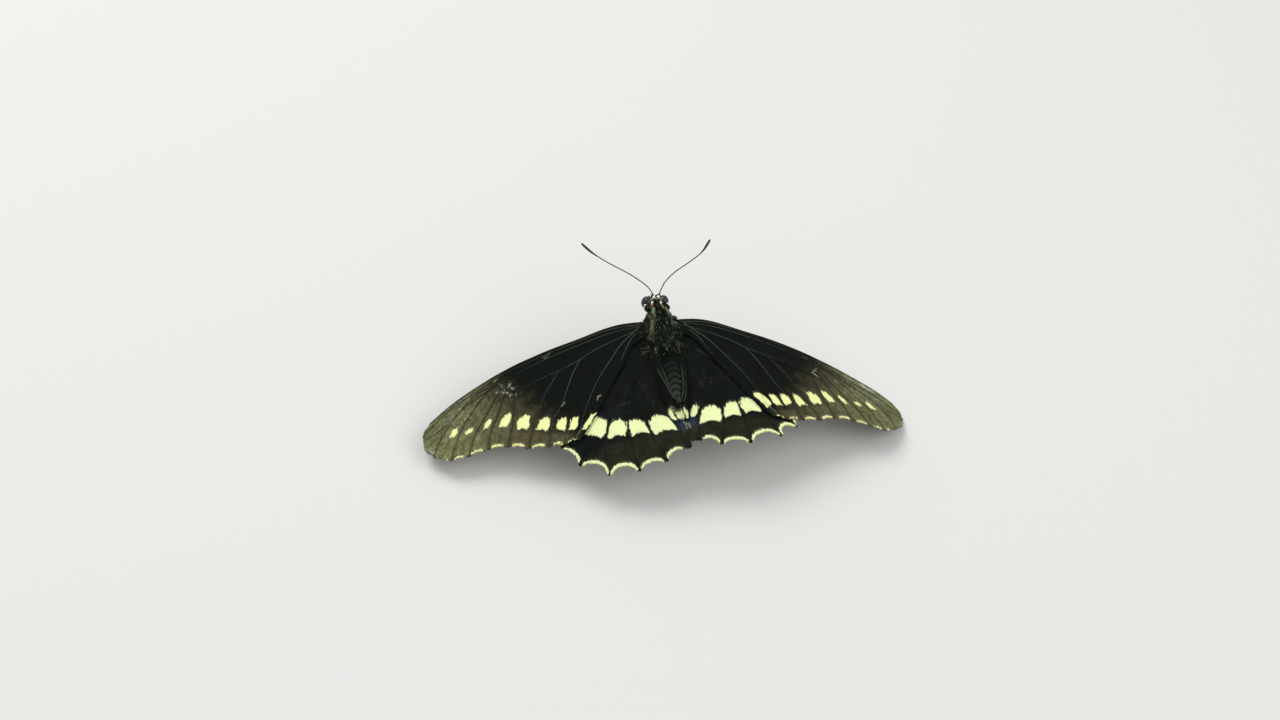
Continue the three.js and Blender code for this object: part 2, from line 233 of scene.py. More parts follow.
def wingMaterial(name, face, finish, grainDepth):
    # chitin scales over a thin cuticle: velvety, with no clear highlight
    colours = wingColours[face]
    material, tree, shader = startMaterial(name, finish)
    marks = maskNames(tree, "marks", ("cream", "red", "pale"))
    # the zones' third channel is a painted blue sheen
    zones = maskNames(tree, "zones", ("brown", "olive", "paintedBlueSheen"))
    # the grain's second channel darkens veins, folds and the gutter's foot, partly with painted shade
    grain = maskNames(tree, "grain", ("random", "veinDarkAndShade", "warm"))
    colour = layerColours(tree, colours["black"], [
        (zones["paintedBlueSheen"], colours["paintedBlueSheen"]), (zones["brown"], colours["brown"]),
        (zones["olive"], colours["olive"]), (grain["veinDarkAndShade"], colours["veinDarkAndShade"])])
    # blotches about 2 mm across, and each scale a little lighter or darker than its neighbours
    place = addNode(tree, "TexCoord", {}, {}).outputs["Object"]
    blotch = addNode(tree, "TexNoise", {}, {"Vector": place, "Scale": 1 / (2.0 * mm), "Detail": 3.0})
    shade = addNode(tree, "MapRange", {}, {0: blotch.outputs[0], 1: 0.3, 2: 0.7, 3: 0.8, 4: 1.2})
    speck = addNode(tree, "MapRange", {}, {0: grain["random"], 3: 1 - grainDepth, 4: 1 + grainDepth})
    strength = addNode(tree, "Math", {"operation": "MULTIPLY"}, {0: shade.outputs[0], 1: speck.outputs[0]})
    colour = addNode(tree, "VectorMath", {"operation": "SCALE"}, {0: colour, "Scale": strength.outputs[0]})
    lightSpeck = addNode(tree, "MapRange", {}, {0: grain["random"], 3: 0.9, 4: 1.0})
    marked = colour.outputs[0]
    spotColour = layerColours(tree, colours["cream"], [(grain["warm"], colours["gold"])])
    tints = {"pale": toLinear(colours["pale"])[:3], "red": toLinear(colours["red"])[:3], "cream": spotColour}
    for mask, tintColour in tints.items():
        tint = addNode(tree, "VectorMath", {"operation": "SCALE"},
                       {0: tintColour, "Scale": lightSpeck.outputs[0]})
        marked = addNode(tree, "Mix", {"data_type": "RGBA"}, {0: marks[mask], 6: marked, 7: tint.outputs[0]})
        marked = marked.outputs[2]
    tree.links.new(marked, shader.inputs["Base Color"])
    addGrain(tree, shader, place, scaleRibs)
    return material


scaleFinish = {"Specular IOR Level": 0.06, "IOR": 1.56, "Sheen Weight": 0.02, "Sheen Roughness": 0.5}
wingLooks = {
    (part, face): wingMaterial(f"{part}_{face}", face, scaleFinish, depth)
    for part, depth in (("scaledMembrane", 0.15), ("wingScaleCoat", 0.42)) for face in ("upper", "lower")
}


# The trunk: coat depth, and sections as y, middle, half width, height above and depth below

coatDepth = {"thorax": 0.45, "head": 0.14, "abdomen": 0.12, "leg": 0.05}
bodyParts = {
    "head": {"front": 9.6, "back": 6.85, "rounding": (1.2, 0.8), "rings": 0, "sections": [
        (9.6, 14.3, 1.3, 1.1, 1.3), (8.2, 14.5, 1.6, 1.35, 1.6), (6.85, 14.4, 1.5, 1.2, 1.4)]},
    "thorax": {"front": 6.5, "back": -4.9, "rounding": (1.1, 0.9), "rings": 0, "sections": [
        (6.5, 14.2, 1.85, 1.3, 1.8), (5.3, 14.0, 2.5, 1.9, 2.4), (4.0, 13.7, 2.95, 2.5, 3.0),
        (1.5, 13.3, 3.1, 3.3, 3.6), (-0.8, 13.2, 3.1, 3.5, 3.6), (-3.0, 13.2, 2.7, 3.0, 3.1),
        (-4.9, 13.3, 2.1, 2.3, 2.4)]},
    "abdomen": {"front": -5.2, "back": -16.2, "rounding": (0.8, 1.4), "rings": 8, "sections": [
        (-5.2, 13.3, 1.6, 1.75, 1.9), (-8.0, 13.3, 1.55, 1.8, 1.95), (-12.0, 13.5, 1.15, 1.45, 1.6),
        (-15.0, 13.8, 0.8, 0.95, 1.1), (-16.2, 13.9, 0.6, 0.7, 0.75)]},
}
ringDepth = 0.13
# x and y along the middle of the abdomen, which bends to the left, and then along the line where
# the two hindwings meet, which swings to the right
midLine = [(0, -4), (-0.28, -10.3), (-0.6, -13), (-0.72, -15), (-0.4, -15.9), (0.2, -16.8),
           (0.55, -17.6), (0.65, -18.6), (0.55, -20), (0.5, -22)]


def middleAt(y):
    line = smoothLine(midLine, 200)[::-1]
    return np.interp(y, line[:, 1], line[:, 0])


def sectionAt(part, y):
    table = np.array(bodyParts[part]["sections"])[::-1]
    step = np.clip(np.searchsorted(table[:, 0], y), 1, len(table) - 1)
    share = np.clip((y - table[step - 1, 0]) / (table[step, 0] - table[step - 1, 0]), 0, 1)
    eased = (share * share * (3 - 2 * share) * 0.5 + share * 0.5)[:, None]
    return (table[step - 1] + (table[step] - table[step - 1]) * eased)[:, 1:].T


# Wings: the same outlines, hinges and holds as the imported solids

hinge = {"x": 3.3, "y": 2.0, "z": 14.64}
hindHinge = {"x": 2.6, "y": -2.5}
hindwingDrop = 0.5
wingHold = {
    "left": {"side": -1, "drop": 0.26, "bend": 0, "pitch": 0.18, "twist": -0.0035},
    "right": {"side": 1, "drop": 0.148, "bend": 0.0062, "pitch": 0.122, "twist": -0.008},
}
wingSweep = {"forewing": {"left": 2.6, "right": -2.6}, "hindwing": {"left": -2.4, "right": 2.4}}
tipReach = {"left": -0.8, "right": 0.5}
rearLift = {"left": 0, "right": 0.9}
# the gutter beside the abdomen: how far out from the margin its foot and its two light ridges lie, by y
gutter = {
    "left": {"y": (-17.0, -15.0, -12.0, -9.0, -6.0, -4.0), "foot": (0.9, 1.05, 1.35, 1.65, 1.9, 1.9),
             "ridges": [(0.03, 0.05, 0.16, 0.4, 0.6, 0.7), (0.16, 0.24, 0.55, 1.0, 1.3, 1.4)]},
    "right": {"y": (-17.0, -15.0, -12.0, -9.0, -6.0, -4.0), "foot": (1.8, 1.9, 1.6, 1.5, 1.5, 1.5),
              "ridges": [(0.12, 0.4, 0.5, 0.42, 0.45, 0.45), (0.5, 0.95, 0.98, 0.95, 0.95, 0.95)]},
    "flank": 0.3, "starts": -3.4, "full": -5.6, "falls": -14.9, "ends": -17.6,
    "ridgeHeight": 0.13, "ridgeWidth": 0.17,
}

wingPlans = {
    "forewing": {
        "rootFront": (-1.1, 0.9), "rootBack": (-0.9, -1.4), "tooth": 0.18,
        "costa": [(5, 1.5), (13, 0.2), (19, -1.0), (25.5, -2.8), (33.2, -6.4), (38.2, -9.2)],
        "apex": (41.3, -11.5),
        "rightCosta": [(5, 1.5), (13, 0.1), (19, -1.0), (25.5, -2.6), (30.5, -4.2), (34.5, -5.7),
                       (38.6, -7.7)],
        "rightEnds": {0: (42.0, -10.4), 1: (42.8, -14.6)},
        "cells": [((42.5, -14.9), -0.4), ((40.3, -18.7), -0.45), ((37.4, -20.0), 0.2), ((34.3, -19.8), 0.35),
                  ((30.9, -19.0), 0.4), ((27.2, -19.1), 0.45), ((23.6, -20.3), 0.45), ((20.0, -20.7), 0.45),
                  ((16.9, -20.6), 0.35), ((14.4, -20.3), 0.3), ((13.1, -18.9), 0)],
        "innerMargin": [(2.4, -3.0), (4.9, -6.8), (8.0, -11.3), (10.9, -15.9)],
    },
    "hindwing": {
        "rootFront": (-0.5, 3.2), "rootBack": (-1.0, -2.1), "tooth": 0.06,
        "costa": [(5.4, 3.4), (11.4, 1.2), (16.6, -2.8)],
        "apex": (19.6, -7.6),
        "cells": [((20.7, -11.2), 0.4), ((20.1, -14.8), 0.5), ((17.7, -19.3), 0.85), ((13.1, -22.6), 1.5),
                  ((7.8, -23.1), 1.6), ((2.8, -22.5), 1.0), ((-1.4, -20.9), 1.0), ((-2.3, -20.5), 0)],
        "rightEnds": {3: (17.5, -19.8), 4: (14.0, -21.9), 5: (7.75, -22.9), 6: (2.4, -22.5)},
        "besideBody": [(1.4, -6.0), (1.3, -9.0), (1.02, -12.0), (0.5, -15.0), (0.12, -15.6),
                       (0.02, -16.1), (0.02, -17.6), (0.02, -23.3)],
    },
}
scallopFullness = 2.5

wingVeins = {
    "forewing": [
        [(0.6, 0.6), (6, 0.9), (14, -0.5), (21, -2.2), (26.5, -4.0), (33, -7.2), (38.5, -10.2),
         (41.9, -13.2)],
        [(0.8, 0.3), (7, 0.0), (15.5, -1.7), (21.5, -3.4), (27.2, -5.5)],
        [(27.2, -5.5), (27.2, -6.6), (26.35, -7.6), (24.9, -8.3)],
        [(1.6, -0.4), (10, -2.9), (12.4, -4.1), (16.4, -5.5), (20.2, -6.6), (24.9, -8.3)],
        [(27.2, -5.5), (33.4, -9.0), (38.6, -12.9), (42.3, -14.9)],
        [(27.2, -5.5), (31, -6.8), (35.6, -10.7), (38.4, -13.9), (39.5, -15.9), (40.3, -18.9)],
        [(27.2, -5.9), (29.5, -7), (33.8, -12.2), (35.8, -15.7), (37.4, -20.2)],
        [(27.1, -6.5), (29.9, -11.3), (32.7, -15.7), (34.3, -20.1)],
        [(26.4, -7.6), (28.4, -12.6), (29.9, -15.7), (30.8, -19.6)],
        [(24.9, -8.3), (25.4, -11.5), (25.9, -14.8), (27.1, -19.4)],
        [(16.4, -5.5), (18.1, -7.9), (19.3, -9.6), (21.9, -15.2), (23.6, -20.3)],
        [(12.4, -4.1), (13.7, -6.1), (14.9, -8.5), (16.9, -13.0), (18.7, -15.8), (20, -20.7)],
        [(1.1, 0.1), (4.9, -2.9), (6.8, -5.2), (8.7, -7.6), (10.5, -10.2), (11.9, -12.9), (13.1, -15.5),
         (14, -18.2), (14.4, -20.3)],
        [(1.9, -1.1), (3.2, -2.6), (4.3, -4.4), (5.4, -6.6)],
    ],
    "hindwing": [
        [(1, 1), (6, 1.2), (12, -0.8), (17, -4.3), (19.6, -7.6)],
        [(0.9, 0.3), (5, -0.4), (8.2, -1.6), (13, -3.2), (17.6, -6.9), (20.7, -11.2)],
        [(8.2, -1.6), (9.3, -2.8), (9.6, -4.0), (13.5, -6.6), (17.0, -10.3), (20.1, -14.8)],
        [(9.6, -4.0), (9.0, -5.2), (11.8, -8.6), (14.4, -13), (17.6, -19.2)],
        [(9.0, -5.2), (7.4, -6.0), (9.6, -9.6), (10.9, -12.0), (12.1, -15.4), (13.6, -21.8)],
        [(7.4, -6.0), (6.0, -6.6), (7.2, -9.6), (7.7, -12.6), (7.95, -16), (7.8, -22.9)],
        [(0.9, -0.8), (3.2, -4.5), (4.0, -8.5), (4.1, -12.5), (4.15, -16.5), (2.5, -22.3)],
        [(3.2, -4.5), (6.0, -6.6)],
        [(0.7, -1.5), (0.7, -6), (0.4, -11), (-0.55, -16.2), (-1.4, -20.9)],
    ],
}

# cream spots of the upper side, each an outline from its basal end
wingSpots = {
    "forewing": [
        [(35.5, -13.3), (36.1, -13.2), (36.8, -13.8), (37.4, -15.0), (36.5, -15.1), (35.7, -14.3)],
        [(33.0, -13.9), (33.6, -13.9), (34.3, -14.5), (34.2, -15.1), (33.4, -14.8), (33.0, -14.4)],
        [(29.3, -12.5), (29.9, -12.7), (30.7, -13.6), (31.0, -14.6), (30.3, -14.5), (29.6, -13.6)],
        [(26.0, -12.3), (27.0, -12.4), (27.8, -13.5), (28.3, -14.8), (27.7, -14.7), (27.0, -15.0),
         (26.1, -13.8)],
        [(22.6, -13.7), (23.3, -13.2), (24.4, -13.6), (25.0, -14.5), (25.3, -15.9), (24.8, -16.1),
         (24.3, -15.8), (23.5, -16.5), (22.8, -15.3)],
        [(19.3, -14.8), (20.1, -14.5), (21.0, -14.9), (21.9, -16.8), (21.3, -16.9), (20.7, -16.9),
         (20.1, -17.5), (19.3, -16.3)],
        [(16.3, -15.5), (17.1, -15.3), (17.7, -15.7), (18.3, -17.2), (17.8, -17.5), (16.9, -18.1),
         (16.6, -17.3)],
        [(14.2, -15.9), (14.9, -15.6), (15.4, -15.8), (16.1, -18.0), (15.6, -17.9), (15.0, -18.2),
         (14.4, -17.3)],
    ],
    "hindwing": [
        [(11.2, -11.9), (12.0, -10.8), (13.2, -10.2), (15.0, -11.0), (15.9, -12.6), (14.9, -13.7),
         (14.2, -13.9), (13.4, -14.4), (12.7, -14.9), (11.8, -14.0), (11.4, -12.9)],
        [(7.95, -13.0), (8.9, -12.1), (10.0, -12.1), (10.9, -12.9), (11.8, -15.3), (11.3, -15.5),
         (10.6, -15.1), (10.0, -15.0), (9.2, -15.3), (8.7, -15.7), (8.25, -14.6)],
        [(4.6, -14.5), (5.1, -13.5), (6.1, -12.8), (7.3, -13.0), (7.6, -14.0), (7.55, -16.3),
         (7.0, -15.8), (6.0, -15.5), (5.2, -15.8), (4.4, -16.3)],
        [(0.0, -15.1), (1.0, -13.8), (2.1, -13.2), (3.3, -13.3), (4.0, -14.4), (3.9, -15.6),
         (3.4, -16.9), (2.7, -16.6), (1.8, -16.3), (0.7, -16.5), (-0.6, -17.1)],
    ],
    # the last spots before the inner margins differ left and right
    "forewing_left": [
        [(11.0, -15.6), (11.9, -15.8), (13.2, -17.4), (13.7, -18.4), (13.1, -18.5), (11.9, -17.2)],
    ],
    "forewing_right": [
        [(11.1, -15.6), (12.1, -15.3), (13.1, -16.2), (14.1, -17.6), (14.0, -18.2), (13.0, -18.9),
         (12.0, -17.4), (11.2, -16.4)],
    ],
    "hindwing_left": [
        [(0.4, -13.4), (-0.05, -13.05), (-0.42, -13.35), (-0.62, -14.1), (-1.0, -14.9), (-0.6, -15.25),
         (-0.1, -14.7), (0.28, -14.0)],
        [(-0.84, -13.85), (-1.05, -13.8), (-1.45, -14.0), (-2.05, -14.15), (-2.7, -14.5), (-2.9, -15.2),
         (-2.2, -15.15), (-1.6, -15.08), (-1.2, -15.0), (-0.98, -14.4)],
    ],
    "hindwing_right": [
        [(-1.8, -14.9), (-1.65, -14.4), (-1.0, -13.45), (-0.45, -12.9), (-0.1, -12.65), (0.05, -13.4),
         (-0.25, -14.3), (-0.85, -15.0), (-1.25, -15.25), (-1.75, -15.2)],
        [(-2.9, -13.9), (-2.48, -13.92), (-2.08, -14.1), (-2.03, -14.55), (-2.3, -15.2), (-2.5, -15.35),
         (-2.58, -14.65), (-2.8, -14.25)],
    ],
}

# cream crescents on the margin: which cell, from and to which share of it, and how deep in mm
wingLunules = {
    "forewing": [(2, 0.5, 0.85, 0.12), (3, 0.24, 0.78, 0.26), (4, 0.2, 0.8, 0.32), (5, 0.2, 0.8, 0.34),
                 (6, 0.2, 0.8, 0.33), (7, 0.2, 0.8, 0.33), (8, 0.25, 0.8, 0.2), (9, 0.15, 0.8, 0.16)],
    "hindwing": [(0, 0.3, 0.85, 0.28), (1, 0.15, 0.88, 0.34), (2, 0.1, 0.9, 0.42), (3, 0.08, 0.92, 0.5),
                 (4, 0.08, 0.92, 0.54), (5, 0.09, 0.91, 0.52), (6, 0.12, 0.86, 0.44)],
}

# worn streaks and scratches, in plan: from, to, width and strength
wingWear = {
    ("forewing", "left"): [
        ((27.2, -5.3), (26.5, -7.2), 0.1, 0.9), ((26.1, -7.8), (26.9, -7.6), 0.14, 1.2),
        ((25.2, -5.9), (25.7, -6.6), 0.14, 1.1), ((27.5, -7.3), (27.9, -7.4), 0.18, 1.0),
        ((24.9, -7.2), (25.2, -7.0), 0.15, 1.1), ((25.4, -8.3), (25.9, -8.6), 0.14, 0.9),
        ((24.6, -8.6), (25.1, -8.4), 0.12, 0.7), ((27.5, -4.5), (28.2, -4.9), 0.11, 0.8),
        ((17.1, -0.9), (18.4, -2.3), 0.1, 0.45), ((17.6, -1.4), (18.9, -2.0), 0.09, 0.4),
        ((9.6, -12.2), (10.2, -12.3), 0.15, 0.95), ((10.1, -12.3), (10.3, -12.8), 0.12, 0.9),
        ((16.1, -12.2), (16.8, -12.9), 0.1, 0.7), ((33.7, -8.0), (34.6, -8.4), 0.12, 0.4),
        ((40.2, -17.7), (41.0, -17.4), 0.2, 0.8), ((41.2, -17.2), (41.7, -16.6), 0.16, 0.7),
        ((40.9, -16.8), (41.2, -16.5), 0.12, 0.6), ((39.4, -18.4), (40.1, -18.3), 0.14, 0.6),
        ((13.3, -17.5), (15.0, -19.6), 0.09, 0.4)],
    ("forewing", "right"): [
        ((25.3, -7.7), (25.9, -8.1), 0.17, 1.3), ((25.6, -7.2), (26.2, -6.9), 0.12, 1.0),
        ((25.9, -8.0), (26.3, -8.5), 0.13, 1.1), ((26.5, -6.0), (26.3, -7.2), 0.08, 0.6),
        ((24.2, -3.7), (25.2, -4.0), 0.12, 0.3), ((35.8, -7.2), (36.5, -7.0), 0.26, 1.3),
        ((36.3, -7.6), (37.6, -8.2), 0.32, 1.5), ((37.5, -8.2), (38.5, -8.6), 0.22, 1.3),
        ((33.0, -6.3), (34.6, -6.7), 0.14, 0.7), ((28.5, -4.9), (30.1, -5.7), 0.09, 0.35),
        ((41.2, -17.4), (42.3, -15.6), 0.12, 0.8), ((13.3, -17.3), (15.3, -19.4), 0.1, 0.55)],
    ("hindwing", "left"): [
        ((6.3, -9.3), (8.7, -9.4), 0.1, 0.11), ((2.6, -6.4), (3.0, -7.3), 0.12, 0.04),
        ((3.2, -6.2), (3.4, -7.6), 0.12, 0.07), ((3.9, -5.8), (3.6, -7.5), 0.12, 0.05),
        ((2.1, -10.2), (2.6, -11.3), 0.1, 0.07), ((-2.4, -16.2), (-2.3, -17.3), 0.2, 0.8),
        ((-2.0, -15.8), (-2.2, -16.3), 0.14, 1.0)],
    ("hindwing", "right"): [
        ((4.2, -7.2), (3.6, -8.8), 0.1, 0.06), ((2.0, -8.2), (2.1, -8.7), 0.18, 0.06),
        ((2.9, -5.6), (3.0, -7.2), 0.16, 0.04), ((3.0, -0.9), (5.4, -2.8), 0.26, 0.05),
        ((-2.5, -16.4), (-2.4, -17.3), 0.16, 0.8)],
}


def turned(points, degrees):
    angle = math.radians(degrees)
    c, s = math.cos(angle), math.sin(angle)
    x, y = points[..., 0], points[..., 1]
    return np.stack([c * x - s * y, s * x + c * y], -1)


class Wing:
    # One wing's surface. u runs from the costa to the inner margin, v from the root to the outer margin.
    def __init__(self, kind, sideName):
        self.kind, self.sideName, self.hold = kind, sideName, wingHold[sideName]
        self.side, self.folds = self.hold["side"], kind == "hindwing"
        self.degrees = wingSweep[kind][sideName]
        self.reach, self.lift = (0, rearLift[sideName]) if self.folds else (tipReach[sideName], 0)
        self.base = np.array([hindHinge["x"], hindHinge["y"]] if self.folds else [hinge["x"], hinge["y"]])
        plan = wingPlans[kind]
        self.tooth = plan["tooth"]
        ends = [plan["apex"]] + [end for end, depth in plan["cells"]]
        for number, end in plan.get("rightEnds", {}).items():
            ends[number] = end if self.side > 0 else ends[number]
        self.corners = self.fromPlan(ends)
        self.depths = np.array([depth for end, depth in plan["cells"]])
        self.cells = len(self.depths)
        self.rootFront, self.rootBack = self.fromPlan([plan["rootFront"], plan["rootBack"]])
        if self.folds:
            beside = np.array(plan["besideBody"])
            beside[:, 1] += self.lift * smoothStep(-16, -22, beside[:, 1])
            beside[:, 0] += self.side * middleAt(beside[:, 1])
            inner = np.vstack([self.rootBack, beside])
            self.corners[-1] = inner[-1]
        else:
            inner = np.vstack([self.rootBack, self.fromPlan(plan["innerMargin"]), self.corners[-1]])
        costa = plan.get("rightCosta", plan["costa"]) if self.side > 0 else plan["costa"]
        costa = np.vstack([self.rootFront, self.fromPlan(costa), self.corners[0]])
        self.costaLine, self.innerLine = smoothLine(costa, 300), smoothLine(inner, 300)
        self.marginLine = self.margin(np.linspace(0, 1, self.cells * 14 + 1))
        self.veins = [smoothLine(line, 28) for line in wingVeins[kind]]

    def fromPlan(self, points):
        points = np.array(points, float)
        points[..., 0] += (self.reach * smoothStep(34, 41, points[..., 0])
                           * smoothStep(-19, -13, points[..., 1]))
        points[..., 1] += self.lift * smoothStep(-16, -22, points[..., 1])
        return turned(points, self.degrees) + self.base

    def toPlan(self, points):
        plan = turned(points - self.base, -self.degrees)
        lifted = plan[..., 1].copy()
        for _ in range(4):
            plan[..., 1] = lifted - self.lift * smoothStep(-16, -22, plan[..., 1])
        plan[..., 0] -= self.reach * smoothStep(34, 41, plan[..., 0]) * smoothStep(-19, -13, plan[..., 1])
        return plan

    def margin(self, u):
        along = np.asarray(u) * self.cells
        cell = np.clip(np.floor(along).astype(int), 0, self.cells - 1)
        share = (along - cell)[..., None]
        start, end = self.corners[cell], self.corners[cell + 1]
        chord = end - start
        inwards = unit(np.stack([chord[..., 1], -chord[..., 0]], -1))
        hollow = np.clip((share - self.tooth) / (1 - 2 * self.tooth), 0, 1)
        depth = self.depths[cell][..., None] * (1 - np.abs(2 * hollow - 1) ** scallopFullness)
        return start + chord * share + inwards * depth

    def outline(self, u, v):
        # place seen from above, x counted outwards
        u, v = np.asarray(u, float), np.asarray(v, float)
        a, b = u[..., None], v[..., None]
        root = self.rootFront * (1 - a) + self.rootBack * a
        tips = self.corners[0] * (1 - a) + self.corners[-1] * a
        across = pointAlong(self.costaLine, v) * (1 - a) + pointAlong(self.innerLine, v) * a
        outwards = root * (1 - b) + self.margin(u) * b
        return across + outwards - root * (1 - b) - tips * b

    def surface(self, u, v):
        spot = self.outline(u, v)
        hold, out, ahead = self.hold, spot[..., 0] - hinge["x"], spot[..., 1] - hinge["y"]
        level = (hinge["z"] - hold["drop"] * out - hold["bend"] * out * out + hold["pitch"] * ahead
                 + hold["twist"] * out * ahead)
        if self.folds:
            level = self.raised(spot, level - hindwingDrop)
        level = level + self.relief(spot)
        return np.stack([spot[..., 0] * self.side, spot[..., 1], level], -1)

    def innerAt(self, y):
        return np.interp(y, self.innerLine[::-1, 1], self.innerLine[::-1, 0])

    def raised(self, spot, level):
        # towards the inner margin the wing rises in a gutter that leans against the abdomen
        y, sizes = spot[..., 1], gutter[self.sideName]
        out = spot[..., 0] - self.innerAt(y)
        middle, _, above, _ = sectionAt("abdomen", np.clip(y, -16, -6).ravel())
        flank = (middle + above * gutter["flank"]).reshape(y.shape)
        foot = np.interp(y, sizes["y"], sizes["foot"])
        within = smoothStep(gutter["starts"], gutter["full"], y)
        within = within * (1 - smoothStep(gutter["falls"], gutter["ends"], y))
        share = 1 - smoothStep(0.45, 1, out / foot)
        crests = sum(np.exp(-((out - np.interp(y, sizes["y"], ridge)) / gutter["ridgeWidth"]) ** 2)
                     for ridge in sizes["ridges"])
        return level + ((flank - level) * share + gutter["ridgeHeight"] * crests) * within

    def relief(self, spot):
        # the membrane dips a little between its veins
        plan = self.toPlan(spot.reshape(-1, 2))
        nearest, second = self.veinDistances(plan)[:2]
        dip = wingRelief["dip"] * np.sin(np.pi * np.clip(nearest / (nearest + second + 1e-6), 0, 0.5)) ** 0.8
        dip = dip * smoothStep(0, 1.5, second)
        sway = wingRelief["sway"] * roughField(plan, wingRelief["swaySize"], 11 + (self.side > 0))
        return (sway - dip).reshape(spot.shape[:-1])

    def veinDistances(self, plan):
        found = [nearestOnLine(plan, line) for line in self.veins]
        distances = np.array([one[0] for one in found])
        order = np.sort(distances, axis=0)
        weights = 1 / (distances ** 2 + 0.3)
        lie = sum(w[:, None] * one[2] for w, one in zip(weights, found))
        return order[0], order[1], unit(lie)

    def slopes(self, shape, u, v, step):
        # how fast a shape's places change with u and with v
        u0, u1, v0, v1 = [np.clip(value, 0, 1) for value in (u - step, u + step, v - step, v + step)]
        return ((shape(u1, v) - shape(u0, v)) / (u1 - u0)[:, None],
                (shape(u, v1) - shape(u, v0)) / (v1 - v0)[:, None])

    def find(self, spots):
        # the u and v of places seen from above, by Newton's steps from the nearest of a coarse net
        us, vs = [axis.ravel() for axis in np.meshgrid(np.linspace(0, 1, 34), np.linspace(0, 1, 30))]
        first = nearestOf(spots, self.outline(us, vs))
        u, v = us[first], vs[first]
        for _ in range(9):
            gap = spots - self.outline(u, v)
            du, dv = self.slopes(self.outline, u, v, 1e-3)
            size = du[:, 0] * dv[:, 1] - du[:, 1] * dv[:, 0]
            size = np.where(np.abs(size) < 1e-6, 1e-6, size)
            u = np.clip(u + np.clip((gap[:, 0] * dv[:, 1] - gap[:, 1] * dv[:, 0]) / size, -0.1, 0.1), 0, 1)
            v = np.clip(v + np.clip((du[:, 0] * gap[:, 1] - du[:, 1] * gap[:, 0]) / size, -0.1, 0.1), 0, 1)
        return u, v, lengthOf(spots - self.outline(u, v))

    def frameAt(self, u, v, lie):
        # place, upward normal and the direction of lie on the surface
        normal = unit(np.cross(*self.slopes(self.surface, u, v, 2e-3)))
        normal = normal * np.sign(normal[:, 2:])
        flat = turned(lie, self.degrees)
        flat = np.stack([flat[:, 0] * self.side, flat[:, 1], np.zeros(len(flat))], -1)
        return self.surface(u, v), normal, laidFlat(flat, normal)


wingRelief = {"dip": 0.16, "sway": 0.07, "swaySize": 6.0}
wings = {(kind, sideName): Wing(kind, sideName) for kind in wingPlans for sideName in wingHold}


# Markings

frayDepth = {"forewing": 0.2, "hindwing": 0.24}
spotRow = [(12.6, -18.4), (16, -18.2), (20.5, -17.2), (24.5, -16.2), (28.5, -14.9), (34, -14.9), (38, -15.4),
           (44, -16)]


def spotMask(wing, plan, softness, shrink):
    # cream where a spot is, its basal edge frayed in streaks along the lie of the scales
    total = np.zeros(len(plan))
    if wing.kind == "forewing" and wing.side > 0:
        # on the right, the row's two ends lie further forwards
        inner, outer = smoothStep(21, 18.5, plan[:, 0]), smoothStep(31, 34, plan[:, 0])
        plan = plan - np.stack([0.6 * inner - 0.4 * outer, 0.55 * inner + 0.75 * outer], -1)
    outlines = wingSpots[wing.kind] + wingSpots[f"{wing.kind}_{wing.sideName}"]
    for number, outline in enumerate(outlines):
        outline = np.array(outline)
        centre = outline.mean(0)
        lie = wing.veinDistances(centre[None])[2][0]
        near = lengthOf(plan - centre) < 4.5
        offset = plan[near] - centre
        along, across = offset @ lie, offset @ np.array([-lie[1], lie[0]])
        reach = np.abs((outline - centre) @ lie).max()
        basal = smoothStep(0.35, -0.75, along / reach)
        streak = roughLine(across / 0.15, 40 + number) + 0.3 * roughLine(across / 0.33, 90 + number)
        fray = frayDepth[wing.kind] * basal * streak
        fray = fray + 0.09 * roughLine(across / 0.2 + along / 0.3, 70 + number)
        distance = insideDistance(plan[near], outline) + fray + shrink
        total[near] = np.maximum(total[near], np.clip(0.5 - distance / softness, 0, 1))
    return total


def lunuleMask(wing, spots, softness, swell):
    # cream crescents that follow the hollows of the margin
    distance, share, _ = nearestOnLine(spots, wing.marginLine)
    along = share * wing.cells
    total = np.zeros(len(spots))
    for cell, start, end, depth in wingLunules[wing.kind]:
        within = (along - cell - start) / (end - start)
        bow = np.sqrt(np.clip(1 - (2 * within - 1) ** 2, 0, 1))
        edge = swell * depth * (0.35 + 0.65 * bow) * (np.abs(within - 0.5) < 0.5)
        edge = edge + 0.06 * roughLine(along * 19, 5)
        total = np.maximum(total, np.clip(0.5 + (edge - distance) / softness, 0, 1) * (edge > 0.07))
    return total, distance, along


def wearMask(wing, plan):
    total = np.zeros(len(plan))
    for start, end, width, strength in wingWear[wing.kind, wing.sideName]:
        line = np.array([start, end], float)
        distance = nearestOnLine(plan, line)[0] + 0.5 * width * roughField(plan, 0.22, 3)
        total = np.maximum(total, 0.62 * strength * (1 - smoothStep(0.5 * width, 1.2 * width, distance)))
    return total


# zones of colour, in plan: where each sets in and ends, and how strong it is
wingZones = {
    "bronze": {"starts": 19.2, "full": 32, "slant": 0.8}, "olive": {"starts": 24, "full": 39},
    "belowSpots": {"left": 0.9, "right": 0.75, "oliveLeft": 0.14, "oliveRight": 0.28},
    # painted blue sheen: a patch by the tail and a faint one on the disc of the hindwing
    "tailSheenPatch": {"centre": (-1.6, -16.4), "spread": (0.8944, 1.2649), "strength": 0.9},
    "discSheenPatch": {"centre": (10, -10.9), "spread": (2.6, 0.9), "strength": 0.16},
    "rubbed": {"centre": (35.5, -8.5), "strength": 0.28},
}


